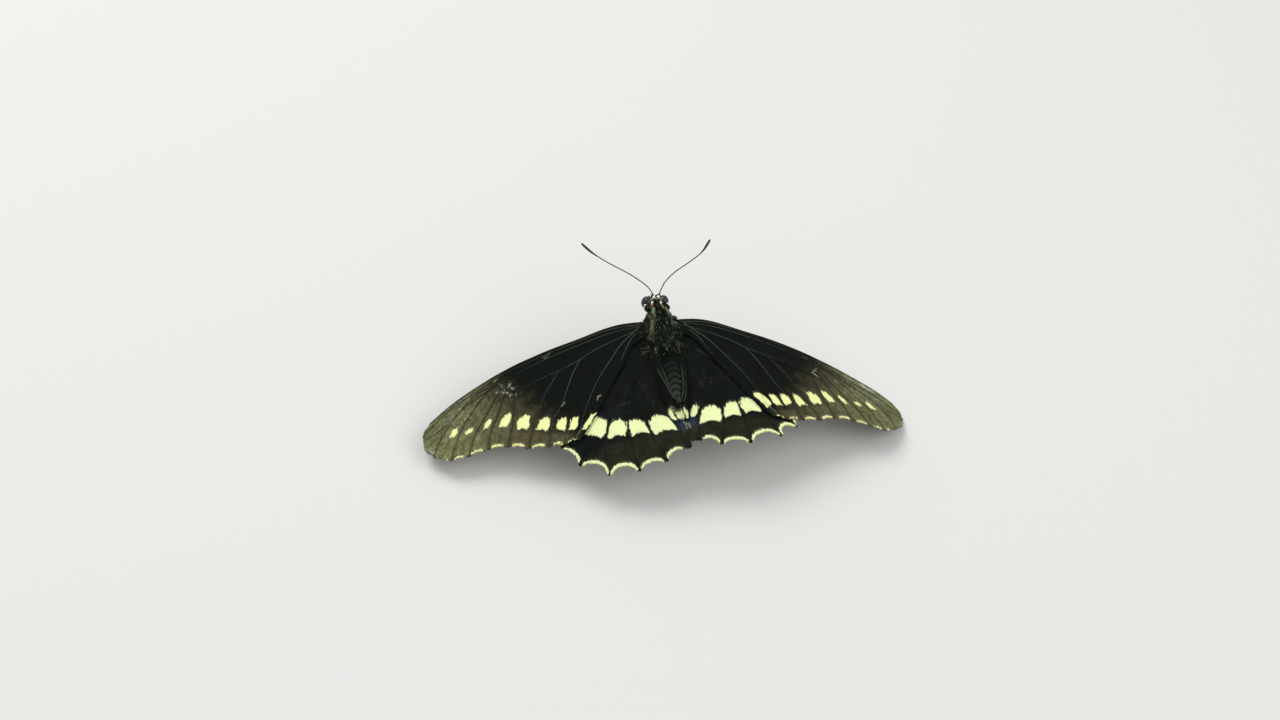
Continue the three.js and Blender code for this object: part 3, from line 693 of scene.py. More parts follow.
def wingMasks(wing, face, spots, u, v, softness, seed):
    plan = wing.toPlan(spots)
    x, y = plan.T
    nearest, second, lie = wing.veinDistances(plan)
    fold = np.clip(nearest / (nearest + second + 1e-6), 0, 0.5)
    lunules, edge, along = lunuleMask(wing, spots, softness, 1.0 if face == "upper" else 0.8)
    random = np.random.default_rng(seed).uniform(0, 1, len(spots))
    # blotches, grit and streaks along the cells, which break up every zone
    mottle = roughField(plan, 1.1, 21) * 0.5 + roughField(plan, 0.4, 22) * 0.5
    grit = roughField(plan, 0.28, 25)
    streak = roughField(np.stack([u * wing.cells * 4.5, v * 5], -1), 1, 23)
    streak = 0.6 * streak + 0.4 * roughField(np.stack([u * wing.cells * 11, v * 9], -1), 1, 24)
    red, pale, paintedBlueSheen = np.zeros(len(spots)), np.zeros(len(spots)), np.zeros(len(spots))
    if wing.kind == "forewing":
        row = np.interp(x, *np.array(spotRow).T)
        bronze, under = wingZones["bronze"], wingZones["belowSpots"]
        below = under[wing.sideName] * smoothStep(-0.2, 1.2, row - y) * smoothStep(13.5, 17.5, x)
        outwards = x + bronze["slant"] * (-10 - y) + 1.6 * mottle + 1.4 * streak
        apical = smoothStep(bronze["starts"], bronze["full"], outwards)
        brown = np.maximum(below, apical) * (0.96 + 0.22 * streak + 0.16 * mottle + 0.16 * grit)
        brown = np.clip(brown, 0, 1)
        olive = smoothStep(wingZones["olive"]["starts"], wingZones["olive"]["full"], x - 0.15 * (y + 12))
        olive = olive * (0.85 + 0.3 * mottle + 0.35 * streak + 0.4 * grit)
        underOlive = under["oliveRight" if wing.side > 0 else "oliveLeft"]
        olive = np.maximum(olive, underOlive * below * smoothStep(18, 30, x))
        # darker along the veins and the folds between them: partly their own dark lines, partly painted shade
        # beside the raised veins
        veinDarkAndShade = 0.52 * np.exp(-(nearest / 0.34) ** 2) * brown
        veinDarkAndShade = veinDarkAndShade + 0.3 * np.exp(-((0.5 - fold) * (nearest + second) / 0.22) ** 2) * brown * (second > 0.7)
        cream = spotMask(wing, plan, softness, 0.0 if face == "upper" else 0.12)
    else:
        outer = smoothStep(-15.0, -17.5, y + 0.35 * np.maximum(x - 10, 0))
        brown = np.clip(0.15 * outer + 0.04 * mottle + 0.03 * streak, 0, 1)
        olive = 0.0 * x
        # painted blue sheen in those two patches
        for zone in ("tailSheenPatch", "discSheenPatch"):
            sizes = wingZones[zone]
            offset = (plan - sizes["centre"]) / sizes["spread"]
            paintedBlueSheen = paintedBlueSheen + sizes["strength"] * np.exp(-(offset ** 2).sum(1))
        paintedBlueSheen = np.clip(paintedBlueSheen + 0.05 * mottle, 0, 1)
        veinDarkAndShade = 0.5 * np.exp(-(nearest / 0.2) ** 2) * outer
        # the gutter's foot lies in shade
        sizes, ahead = gutter[wing.sideName], spots[:, 1]
        out = spots[:, 0] - wing.innerAt(ahead) - np.interp(ahead, sizes["y"], sizes["foot"])
        veinDarkAndShade = np.maximum(veinDarkAndShade, np.exp(-((out - 0.1) / 0.34) ** 2) * smoothStep(-16.2, -14.6, ahead))
        cream = spotMask(wing, plan, softness, 0.0)
    if face == "upper":
        pale = wearMask(wing, plan)
        if wing.kind == "forewing":
            rub = wingZones["rubbed"]
            rubbed = smoothStep(28, 32, x) * smoothStep(4.5, 1.5, lengthOf(plan - rub["centre"]) - 1.5)
            pale = np.maximum(pale, rub["strength"] * rubbed * smoothStep(0.35, 0.7, grit + 0.4 * mottle))
    else:
        # beneath, a quarter of the painted sheen
        pale, paintedBlueSheen = 0.0 * x, 0.25 * paintedBlueSheen
        veinDarkAndShade = np.maximum(veinDarkAndShade, 0.8 * np.exp(-(nearest / 0.16) ** 2))
        if wing.kind == "hindwing":
            # beneath, the hindwing has brick red crescents in place of the cream band
            cream = 0.0 * x
            middle = (along % 1 - 0.5) * 2
            crescent = np.abs(edge - 2.5 - 0.8 * middle ** 2 - 0.15 * mottle)
            red = np.clip(0.5 + (0.5 - crescent) / softness, 0, 1) * (np.abs(middle) < 0.62)
            pale = np.clip(0.5 + (0.2 - np.abs(edge - 3.3)) / softness, 0, 1) * (np.abs(middle) < 0.3)
        brown = np.clip(brown + 0.25, 0, 1)
    cream = np.maximum(cream, lunules) * (1 - wearMask(wing, plan) * (wing.kind == "forewing"))
    marks = np.stack([cream, red, pale], -1)
    zones = np.stack([brown, np.clip(olive, 0, 1), np.clip(paintedBlueSheen, 0, 1)], -1)
    warm = np.full(len(spots), float(wing.kind == "forewing"))
    grain = np.stack([random, np.clip(veinDarkAndShade, 0, 1), warm], -1)
    return {"marks": marks, "zones": zones, "grain": grain}, lie


# Making pieces

def addMasks(mesh, masks, repeat=1):
    for name, values in masks.items():
        attribute = mesh.attributes.new(name, "FLOAT_VECTOR", "POINT")
        attribute.data.foreach_set("vector", np.repeat(values, repeat, axis=0).astype(np.float32).ravel())


def addObject(name, data):
    thing = bpy.data.objects.new(name, data)
    bpy.context.scene.collection.objects.link(thing)
    return thing


def toMesh(form, name):
    mesh = bpy.data.meshes.new(name)
    form.to_mesh(mesh)
    form.free()
    return mesh


def smoothFaces(mesh):
    mesh.polygons.foreach_set("use_smooth", np.ones(len(mesh.polygons), bool))


def cornersOf(verts):
    return np.array([vertex.co for vertex in verts])


def moveTo(verts, places):
    for vertex, place in zip(verts, places):
        vertex.co = place


def readVectors(items, name):
    values = np.empty(len(items) * 3, np.float32)
    items.foreach_get(name, values)
    return values.reshape(-1, 3).astype(float)


def addPiece(name, mesh, material, nodes=()):
    piece = addObject(name, mesh)
    mesh.materials.clear()
    mesh.materials.append(material)
    if nodes:
        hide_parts(*nodes)
    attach(piece, "root")
    return piece


# the faces of one scale or hair, and its corners on its patch of the bake map
coatShapes = {
    "scale": {"faces": [(0, 1, 2), (0, 2, 3), (0, 3, 4), (1, 0, 5), (2, 1, 5), (3, 2, 5), (4, 3, 5),
                        (0, 4, 5)],
              "patch": [(0.5, 0), (0, 0.3), (0.1, 1), (0.9, 1), (1, 0.3), (0.5, 0.5)]},
    "hair": {"faces": [(0, 2, 1), (0, 1, 4), (0, 4, 3), (1, 2, 5), (1, 5, 4), (2, 0, 3), (2, 3, 5),
                       (3, 4, 6), (4, 5, 6), (5, 3, 6)],
             "patch": [(0.2, 0), (0.8, 0), (0.5, 0.1), (0.1, 0.5), (0.9, 0.5), (0.5, 0.6), (0.5, 1)]},
}
bakePatch = 0.003


def addCoat(name, kind, points, unwrap, masks, look):
    # many small closed scales or hairs in one mesh, each a small patch of the bake map at its root's
    # place on the unwrapped skin
    count, corners = points.shape[:2]
    faces, patch = [np.array(coatShapes[kind][part]) for part in ("faces", "patch")]
    faces = (faces[None] + np.arange(count)[:, None, None] * corners).reshape(-1, 3)
    mesh = bpy.data.meshes.new(name)
    mesh.vertices.add(count * corners)
    mesh.vertices.foreach_set("co", toFrame(points.reshape(-1, 3)).astype(np.float32).ravel())
    mesh.loops.add(faces.size)
    mesh.loops.foreach_set("vertex_index", faces.astype(np.int32).ravel())
    mesh.polygons.add(len(faces))
    mesh.polygons.foreach_set("loop_start", np.arange(0, faces.size, 3, dtype=np.int32))
    mesh.polygons.foreach_set("use_smooth", np.zeros(len(faces), bool))
    mesh.update(calc_edges=True)
    low, high = unwrap.min(0), unwrap.max(0)
    roots = (unwrap - low) / (high - low).max()
    spots = roots[:, None] * (1 - bakePatch) + patch[None] * bakePatch
    bakeMap = mesh.uv_layers.new(name="OFBake")
    bakeMap.data.foreach_set("uv", spots.reshape(-1, 2)[faces.ravel()].astype(np.float32).ravel())
    addMasks(mesh, masks, corners)
    print("coat", name, len(faces))
    return addPiece(name, mesh, look)


# Wing membranes

membrane = {"acrossSteps": 14, "outwardSteps": 104, "thickness": 0.13}


def makeMembrane(wing):
    across = wing.cells * membrane["acrossSteps"]
    form = bmesh.new()
    bmesh.ops.create_grid(form, x_segments=across, y_segments=membrane["outwardSteps"], size=0.5)
    u, v = np.clip(cornersOf(form.verts)[:, :2] + 0.5, 0, 1).T
    moveTo(form.verts, toFrame(wing.surface(u, v)))
    if wing.side < 0:
        bmesh.ops.reverse_faces(form, faces=form.faces[:])
    name = f"membrane_{wing.kind}_{wing.sideName}"
    mesh = toMesh(form, name)
    masks = wingMasks(wing, "upper", wing.outline(u, v), u, v, 0.3, 7)[0]
    masks["grain"][:, 0] = 0.5
    addMasks(mesh, masks)
    smoothFaces(mesh)
    look = wingLooks["scaledMembrane", "upper"]
    piece = addPiece(name, mesh, look, [f"{wing.kind}_{wing.sideName}"])
    shell = piece.modifiers.new("shell", "SOLIDIFY")
    shell.thickness = membrane["thickness"] * mm
    shell.offset = 0
    shell.use_rim = True
    return piece


# Wing scales: overlapping slivers that lie outwards along the veins

scaleShape = {"length": 0.36, "width": 0.2, "lift": 0.045, "thick": 0.022}
scaleSpacing = {"upper": 0.172, "lower": 0.215}


def hiddenBetween(wing, face, spots):
    # true well inside the overlap of the two wings, where no scale can be seen
    other = wings["forewing" if wing.folds else "hindwing", wing.sideName]
    if (face == "upper") != wing.folds:
        return np.zeros(len(spots), bool)
    ring = [other.costaLine, other.marginLine, other.innerLine[::-1]]
    return insideDistance(spots, np.vstack([line[::3] for line in ring])) < -1.2


def scaleRoots(wing, spacing, seed):
    random = np.random.default_rng(seed)
    low, high = wing.marginLine.min(0) - 1, wing.marginLine.max(0) + 1
    low = np.minimum(low, wing.innerLine.min(0))
    high = np.maximum(high, wing.costaLine.max(0))
    xs, ys = np.arange(low[0], high[0], spacing), np.arange(low[1], high[1], spacing)
    net = np.stack(np.meshgrid(xs, ys), -1)
    net[1::2, :, 0] += spacing / 2
    spots = net.reshape(-1, 2) + random.uniform(-0.36, 0.36, (net.size // 2, 2)) * spacing
    u, v, miss = wing.find(spots)
    kept = miss < 0.01
    return spots[kept], u[kept], v[kept]


def makeScales(wing, face, seed):
    random = np.random.default_rng(seed)
    spacing = scaleSpacing[face] * thinning
    spots, u, v = scaleRoots(wing, spacing, seed)
    seen = ~hiddenBetween(wing, face, spots)
    spots, u, v = spots[seen], u[seen], v[seen]
    masks, lie = wingMasks(wing, face, spots, u, v, 0.02, seed + 1)
    place, normal, along = wing.frameAt(u, v, lie)
    if face == "lower":
        normal = -normal
    count = len(spots)
    stretch = spacing / scaleSpacing["upper"]
    length = scaleShape["length"] * stretch * random.uniform(0.85, 1.2, count)
    width = scaleShape["width"] * stretch * random.uniform(0.85, 1.15, count)
    lift = scaleShape["lift"] * random.uniform(0.4, 1.6, count)
    turn = random.normal(0, 0.13, count)[:, None]
    side = np.cross(normal, along)
    along, side = along + side * turn, side - along * turn
    roll = random.normal(0, 0.12, count)[:, None]
    side = side + normal * roll
    root = place + normal * (membrane["thickness"] / 2 - 0.012)
    ragged = random.uniform(0.86, 1.0, (count, 2))
    # each corner's share of the length, width and lift
    shape = [(0, 0, 0), (0.32, -0.5, 0.45), (ragged[:, 0], -0.3, 1.0), (ragged[:, 1], 0.3, 1.0),
             (0.32, 0.5, 0.45), (0.5, 0, 0)]
    points = np.empty((count, 6, 3))
    for corner, (out, across, up) in enumerate(shape):
        reach = np.broadcast_to(out, count) * length
        drop = scaleShape["thick"] * (corner == 5)
        points[:, corner] = (root + along * reach[:, None] + side * (across * width)[:, None]
                             + normal * (lift * up - drop)[:, None])
    name = f"scales_{wing.kind}_{wing.sideName}_{face}"
    addCoat(name, "scale", points, spots, masks, wingLooks["wingScaleCoat", face])


for key, wing in wings.items():
    makeMembrane(wing)
for number, wing in enumerate(wings.values()):
    for face in ("upper", "lower"):
        makeScales(wing, face, 100 + 10 * number + (face == "lower"))


# Veins and the stiff front edge: tubes half sunk in the membrane

def addTube(form, line, radii, around, up=(0, 0, 1)):
    # a sphere drawn out along a line, with a radius for each of its points
    line, count = np.asarray(line, float), len(line)
    along = unit(np.gradient(line, axis=0))
    side = unit(np.cross(along, np.broadcast_to(up, line.shape)))
    upright = np.cross(side, along)
    ball = bmesh.ops.create_uvsphere(form, u_segments=around, v_segments=count + 1, radius=1)["verts"]
    net = cornersOf(ball)
    step = np.rint(np.arccos(np.clip(net[:, 2], -1, 1)) / math.pi * (count + 1)).astype(int)
    ring = np.clip(step - 1, 0, count - 1)
    reach = np.hypot(net[:, 0], net[:, 1])
    flat = net[:, :2] / np.maximum(reach, 1e-6)[:, None] * radii[ring][:, None] * (reach > 1e-4)[:, None]
    cap = (step > count).astype(float) - (step < 1)
    moveTo(ball, line[ring] + side[ring] * flat[:, :1] + upright[ring] * flat[:, 1:]
           + along[ring] * (cap * radii[ring] * 0.6)[:, None])
    return ball


def addBall(form, centre, radii, around, rings):
    ball = bmesh.ops.create_uvsphere(form, u_segments=around, v_segments=rings, radius=1)["verts"]
    moveTo(ball, cornersOf(ball) * radii + centre)


def finishForm(form, name):
    # closes the work on a form made in millimetres: normals out, smooth, set in the frame
    bmesh.ops.recalc_face_normals(form, faces=form.faces[:])
    moveTo(form.verts, toFrame(cornersOf(form.verts)))
    mesh = toMesh(form, name)
    smoothFaces(mesh)
    return mesh


veinShape = {"base": 0.07, "margin": 0.05, "rim": 0.15, "ridge": 0.085}
# light lightens the forewing's veins near the base, a painted highlight, and the hindwing's gutter ridges
veinTints = {"black": "#0d120d", "brown": "#262219", "light": "#454a42", "rim": "#121810"}


def veinMaterial():
    # bare cuticle between the scales, satin
    material, tree, shader = startMaterial("veinCuticle", {"Roughness": 0.62, "Specular IOR Level": 0.12})
    tone = maskNames(tree, "tone", ("light", "rim", "brown"))
    colour = layerColours(tree, veinTints["black"],
                          [(tone[tint], veinTints[tint]) for tint in ("brown", "light", "rim")])
    tree.links.new(colour, shader.inputs["Base Color"])
    return material


def makeVeins(wing, look):
    form, tones = bmesh.new(), []
    lines = [(line, "vein") for line in wing.veins]
    spots = pointAlong(wing.costaLine, np.linspace(0.03, 1, 60))
    lines.append((wing.toPlan(spots), "rim"))
    if wing.folds:
        sizes, y = gutter[wing.sideName], np.linspace(-5.8, -15.7, 50)
        for ridge in sizes["ridges"]:
            spots = np.stack([wing.innerAt(y) + np.interp(y, sizes["y"], ridge), y], -1)
            lines.append((wing.toPlan(spots), "ridge"))
    for line, kind in lines:
        spots = wing.fromPlan(line)
        u, v, miss = wing.find(spots)
        inside = miss < 0.05
        u, v, line = u[inside], v[inside], line[inside]
        place, normal, _ = wing.frameAt(u, v, np.tile([[0.0, -1.0]], (len(u), 1)))
        out = np.linspace(0, 1, len(u))
        radii = (veinShape["base"] * (1 - out) ** 1.3 + veinShape["margin"]) * (0.6 if wing.folds else 1)
        # the forewing's veins lighter towards the base: a painted highlight
        light = 0.9 * (1 - smoothStep(11, 27, line[:, 0])) * (0 if wing.folds else 1)
        if kind != "vein":
            radii = veinShape[kind] * np.where(kind == "rim", 1, 0.35 + 0.65 * smoothStep(0, 0.3, out))
            light = np.full(len(u), 0.1) if kind == "rim" else smoothStep(0.0, 0.3, out)
        place = place + normal * {"vein": 0.0 if wing.folds else 0.04, "rim": 0.0, "ridge": 0.06}[kind]
        tube = addTube(form, place, radii, 6, normal.mean(0))
        near = nearestOf(cornersOf(tube), place)
        brown = smoothStep(18, 30, line[:, 0]) * (kind == "vein") * (0 if wing.folds else 1)
        tones.append(np.stack([light[near], np.full(len(near), float(kind == "rim")), brown[near]], -1))
    name = f"veins_{wing.kind}_{wing.sideName}"
    mesh = finishForm(form, name)
    addMasks(mesh, {"tone": np.vstack(tones)})
    addPiece(name, mesh, look)


# The fringe: short hair scales along the outer margin, cream on the crescents

fringe = {"spacing": 0.085, "length": 0.36, "width": 0.07}


def hairPoints(root, along, up, length, width, lift):
    # three-sided slivers from a root to a point, raised by lift and drooping at the tip
    length, width, lift = [np.broadcast_to(value, len(root))[:, None] for value in (length, width, lift)]
    side = np.cross(up, along)
    middle = root + along * length * 0.5 + up * lift * 0.75
    tip = root + along * length + up * lift * 0.65
    thick = up * width * 0.45
    return np.stack([root - side * width * 0.4, root + side * width * 0.4, root + thick,
                     middle - side * width * 0.5, middle + side * width * 0.5, middle + thick, tip], 1)


def makeFringe(wing, seed):
    random = np.random.default_rng(seed)
    run = runAlong(wing.marginLine)
    count = int(run[-1] / fringe["spacing"] / thinning)
    u = np.interp(random.uniform(0, run[-1], count), run, np.linspace(0, 1, len(run)))
    v = np.full(count, 0.997)
    spots = wing.outline(u, v)
    out = unit(spots - wing.outline(u, v - 0.02))
    place, normal, along = wing.frameAt(u, v, turned(out, -wing.degrees))
    masks = wingMasks(wing, "upper", spots, u, v, 0.05, seed)[0]
    side = np.cross(normal, along)
    along = unit(along + side * random.normal(0, 0.16, count)[:, None])
    length = fringe["length"] * random.uniform(0.7, 1.25, count)
    root = place - along * 0.2 + normal * random.uniform(-0.03, 0.06, count)[:, None]
    points = hairPoints(root, along, normal, length, fringe["width"] * random.uniform(0.8, 1.3, count), 0.02)
    name = f"fringe_{wing.kind}_{wing.sideName}"
    addCoat(name, "hair", points, spots, masks, wingLooks["wingScaleCoat", "upper"])


# Body skin: one surface over head, thorax, abdomen, palps and legs

# lobes that join the parts: centre and radii, mirrored where they lie beside the middle
bodyLobes = {
    "neck": ((0, 6.7, 14.1), (1.15, 0.9, 1.1)), "waist": ((-0.03, -5.0, 13.3), (1.3, 0.9, 1.5)),
    "mouth": ((0, 9.0, 12.7), (0.65, 0.55, 0.75)), "collarLobe": ((1.8, 6.45, 14.75), (0.6, 0.6, 0.5)),
    "tegula": ((2.45, 2.9, 14.55), (0.6, 1.4, 0.45)), "pleuron": ((2.35, 0.6, 13.6), (0.7, 2.6, 1.1)),
    "foreCoxa": ((0.9, 4.0, 10.9), (0.6, 0.75, 1.1)), "midCoxa": ((1.1, 1.1, 10.0), (0.7, 0.8, 1.0)),
    "hindCoxa": ((1.05, -1.6, 10.1), (0.7, 0.8, 1.1)), "brow": ((0.5, 8.6, 15.45), (0.34, 0.36, 0.34)),
}
palpPath = [(0.5, 9.0, 12.5), (0.62, 9.6, 12.5), (0.62, 10.05, 12.9), (0.58, 10.15, 13.8)]
legJoints = {
    "fore": [(1.0, 4.0, 10.6), (1.1, 4.0, 10.2), (3.4, 6.6, 9.4), (4.6, 8.7, 4.2), (5.9, 11.6, 0.22)],
    "mid": [(1.1, 1.1, 9.7), (1.3, 1.1, 9.3), (6.2, 1.5, 9.9), (8.3, 1.7, 3.6), (12.3, 2.2, 0.22)],
    "hind": [(1.1, -1.7, 9.7), (1.25, -1.7, 9.3), (5.1, -5.3, 9.9), (6.6, -7.5, 3.4), (9.2, -11.2, 0.22)],
}
footLength = 1.3
skinVoxel = 0.095


def addTrunk(form, part):
    shape, inset = bodyParts[part], coatDepth[part]
    ball = bmesh.ops.create_uvsphere(form, u_segments=56, v_segments=110, radius=1)["verts"]
    net = cornersOf(ball)
    share = np.arccos(np.clip(net[:, 2], -1, 1)) / math.pi
    front, back = shape["front"] - inset, shape["back"] + inset
    y = front + (back - front) * (share - np.sin(2 * math.pi * share) / 12)
    fromEnd = np.minimum(np.minimum((front - y) / shape["rounding"][0], (y - back) / shape["rounding"][1]), 1)
    swell = np.sqrt(np.clip(1 - (1 - fromEnd) ** 2, 0, 1))
    if shape["rings"]:
        # each ring widens backwards and tucks in over the next
        phase = (front - y) / (front - back) * shape["rings"] % 1
        swell = swell * (1 - ringDepth * (1 - smoothStep(0, 0.75, phase) * (1 - smoothStep(0.9, 1, phase))))
    middle, halfWidth, above, below = sectionAt(part, y)
    reach = np.maximum(np.hypot(net[:, 0], net[:, 1]), 1e-6)
    out, up = net[:, 0] / reach, -net[:, 1] / reach
    swell = swell * (reach > 1e-4)
    x = (middleAt(y) if part == "abdomen" else 0) + out * (halfWidth - inset) * swell
    z = middle + up * (np.where(up > 0, above, below) - inset) * swell
    moveTo(ball, np.stack([x, y, z], -1))


def legLines():
    # hip to knee, knee to ankle and ankle to toe of each leg
    lines = {}
    for pair, joints in legJoints.items():
        for sideName, side in (("left", -1), ("right", 1)):
            inner, hip, knee, ankle, toe = np.array(joints) * (side, 1, 1)
            step = (toe - ankle) * (1, 1, 0)
            heel = toe - step / lengthOf(step) * footLength + np.array([0, 0, 0.02])
            lines[pair, sideName, "femur"] = smoothLine([inner, hip, (hip + knee) / 2, knee], 26)
            lines[pair, sideName, "tibia"] = smoothLine([knee, (knee + ankle) / 2, ankle], 26)
            lines[pair, sideName, "tarsus"] = smoothLine([ankle, (ankle + heel) / 2, heel, toe], 40)
    return lines


def addLegs(form, lines):
    for (_, _, part), line in lines.items():
        share = np.linspace(0, 1, len(line))
        if part == "femur":
            radii = 0.24 + 0.15 * np.sin(math.pi * np.clip(share * 1.1, 0, 1)) ** 0.8
        elif part == "tibia":
            radii = 0.2 + 0.06 * np.sin(math.pi * share)
        else:
            # five tarsal joints, each widening towards its end
            radii = 0.15 + 0.055 * (share * 5 % 1) ** 1.5 + 0.01 * (share > 0.8)
        addTube(form, line, radii, 12)


def makeSkin(look, lines):
    form = bmesh.new()
    for part in bodyParts:
        addTrunk(form, part)
    for centre, radii in bodyLobes.values():
        for side in (1, -1) if centre[0] else (1,):
            addBall(form, np.array(centre) * (side, 1, 1), radii, 28, 20)
    for side in (1, -1):
        path = smoothLine(np.array(palpPath) * (side, 1, 1), 16)
        addTube(form, path, 0.34 * (1 - 0.35 * np.linspace(0, 1, 16)), 14, (1, 0, 0))
    addLegs(form, lines)
    bmesh.ops.recalc_face_normals(form, faces=form.faces[:])
    block = addObject("bodyForm", toMesh(form, "bodyForm"))
    # knit the overlapping parts into one closed skin, still in millimetres
    knit = block.modifiers.new("knit", "REMESH")
    knit.mode = "VOXEL"
    knit.voxel_size = skinVoxel * 1
    ease = block.modifiers.new("ease", "SMOOTH")
    ease.factor, ease.iterations = 0.5, 2
    solid = block.evaluated_get(bpy.context.evaluated_depsgraph_get())
    mesh = bpy.data.meshes.new_from_object(solid)
    mesh.name = "bodySkin"
    bpy.data.objects.remove(block)
    places = readVectors(mesh.vertices, "co")
    places[:, 2] = np.maximum(places[:, 2], 0)
    mesh.vertices.foreach_set("co", toFrame(places).astype(np.float32).ravel())
    smoothFaces(mesh)
    mesh.update()
    addMasks(mesh, bodyMasks(places, *bodyRegions(places), None))
    nodes = ["head", "thorax", "abdomen", "palp_left", "palp_right"]
    nodes += [f"leg_{pair}_{sideName}_{part}" for pair, sideName, part in lines]
    return addPiece("bodySkin", mesh, look, nodes), places


# Markings of the body, shared by skin and hair

# spots on the head and collar: centre, radius and colour
bodySpots = [
    ((-0.36, 8.3, 15.8), 0.2, "white"), ((0.56, 8.32, 15.8), 0.2, "white"),
    ((-0.82, 7.35, 15.3), 0.16, "white"), ((0.84, 7.3, 15.3), 0.17, "white"),
    ((-1.0, 6.95, 15.1), 0.34, "orange"), ((1.06, 6.65, 15.1), 0.2, "orange"),
    ((1.2, 6.3, 15.1), 0.16, "orange"), ((2.3, 5.5, 15.0), 0.12, "white"),
]
# pale lines: the arc across the head, and those running back from the collar, with width and strength
bodyStreaks = [
    ([(-1.12, 7.75), (-0.75, 8.05), (0.05, 7.95), (0.95, 7.95), (1.25, 7.6)], 0.17, 1.6),
    ([(-0.62, 5.9), (-0.85, 5.1), (-1.1, 4.4)], 0.19, 2.2),
    ([(1.02, 6.2), (1.25, 5.0), (1.4, 4.3)], 0.14, 1.6),
    ([(-1.1, 4.4), (-1.5, 3.1), (-1.95, 1.4), (-2.15, 0.2)], 0.4, 0.9),
    ([(1.4, 4.3), (1.75, 2.6), (2.1, 1.0)], 0.24, 0.6),
]


# golden tufts at the wing roots: from, to and radius
rootTufts = [
    ((-3.75, -2.0), (-3.95, -2.9), 0.2), ((-2.85, -1.6), (-3.05, -2.5), 0.2),
    ((1.75, -1.9), (1.95, -2.7), 0.16), ((1.9, -1.6), (2.7, -1.75), 0.16),
    ((2.55, -1.9), (2.75, -2.6), 0.14), ((3.5, 2.6), (3.52, 2.5), 0.1), ((4.05, 2.0), (4.1, 1.9), 0.1),
]


def tuftMask(points):
    mask = np.zeros(len(points))
    for start, end, radius in rootTufts:
        distance = nearestOnLine(points[:, :2], np.array([start, end], float))[0]
        mask = np.maximum(mask, np.exp(-(distance / radius) ** 2))
    return mask


def bodyRegions(points):
    # which part each point belongs to: 0 head, 1 thorax, 2 abdomen, 3 leg; and how far round it is
    y = points[:, 1]
    part = np.where(y > 6.7, 0, np.where(y > -5.05, 1, 2))
    spread, angle = np.zeros(len(points)), np.zeros(len(points))
    for number, name in enumerate(bodyParts):
        own = part == number
        middle, halfWidth, above, below = sectionAt(name, y[own])
        x = points[own, 0] - (middleAt(y[own]) if name == "abdomen" else 0)
        z = points[own, 2] - middle
        spread[own] = np.hypot(x / halfWidth, z / np.where(z > 0, above, below))
        angle[own] = np.arctan2(x / halfWidth, z / np.where(z > 0, above, below))
    face = (y > 8.7) & (np.abs(points[:, 0]) < 1.3) & (points[:, 2] > 11.5)
    part[(spread > 1.16) & ~face & (points[:, 2] < 11.5)] = 3
    return part, angle


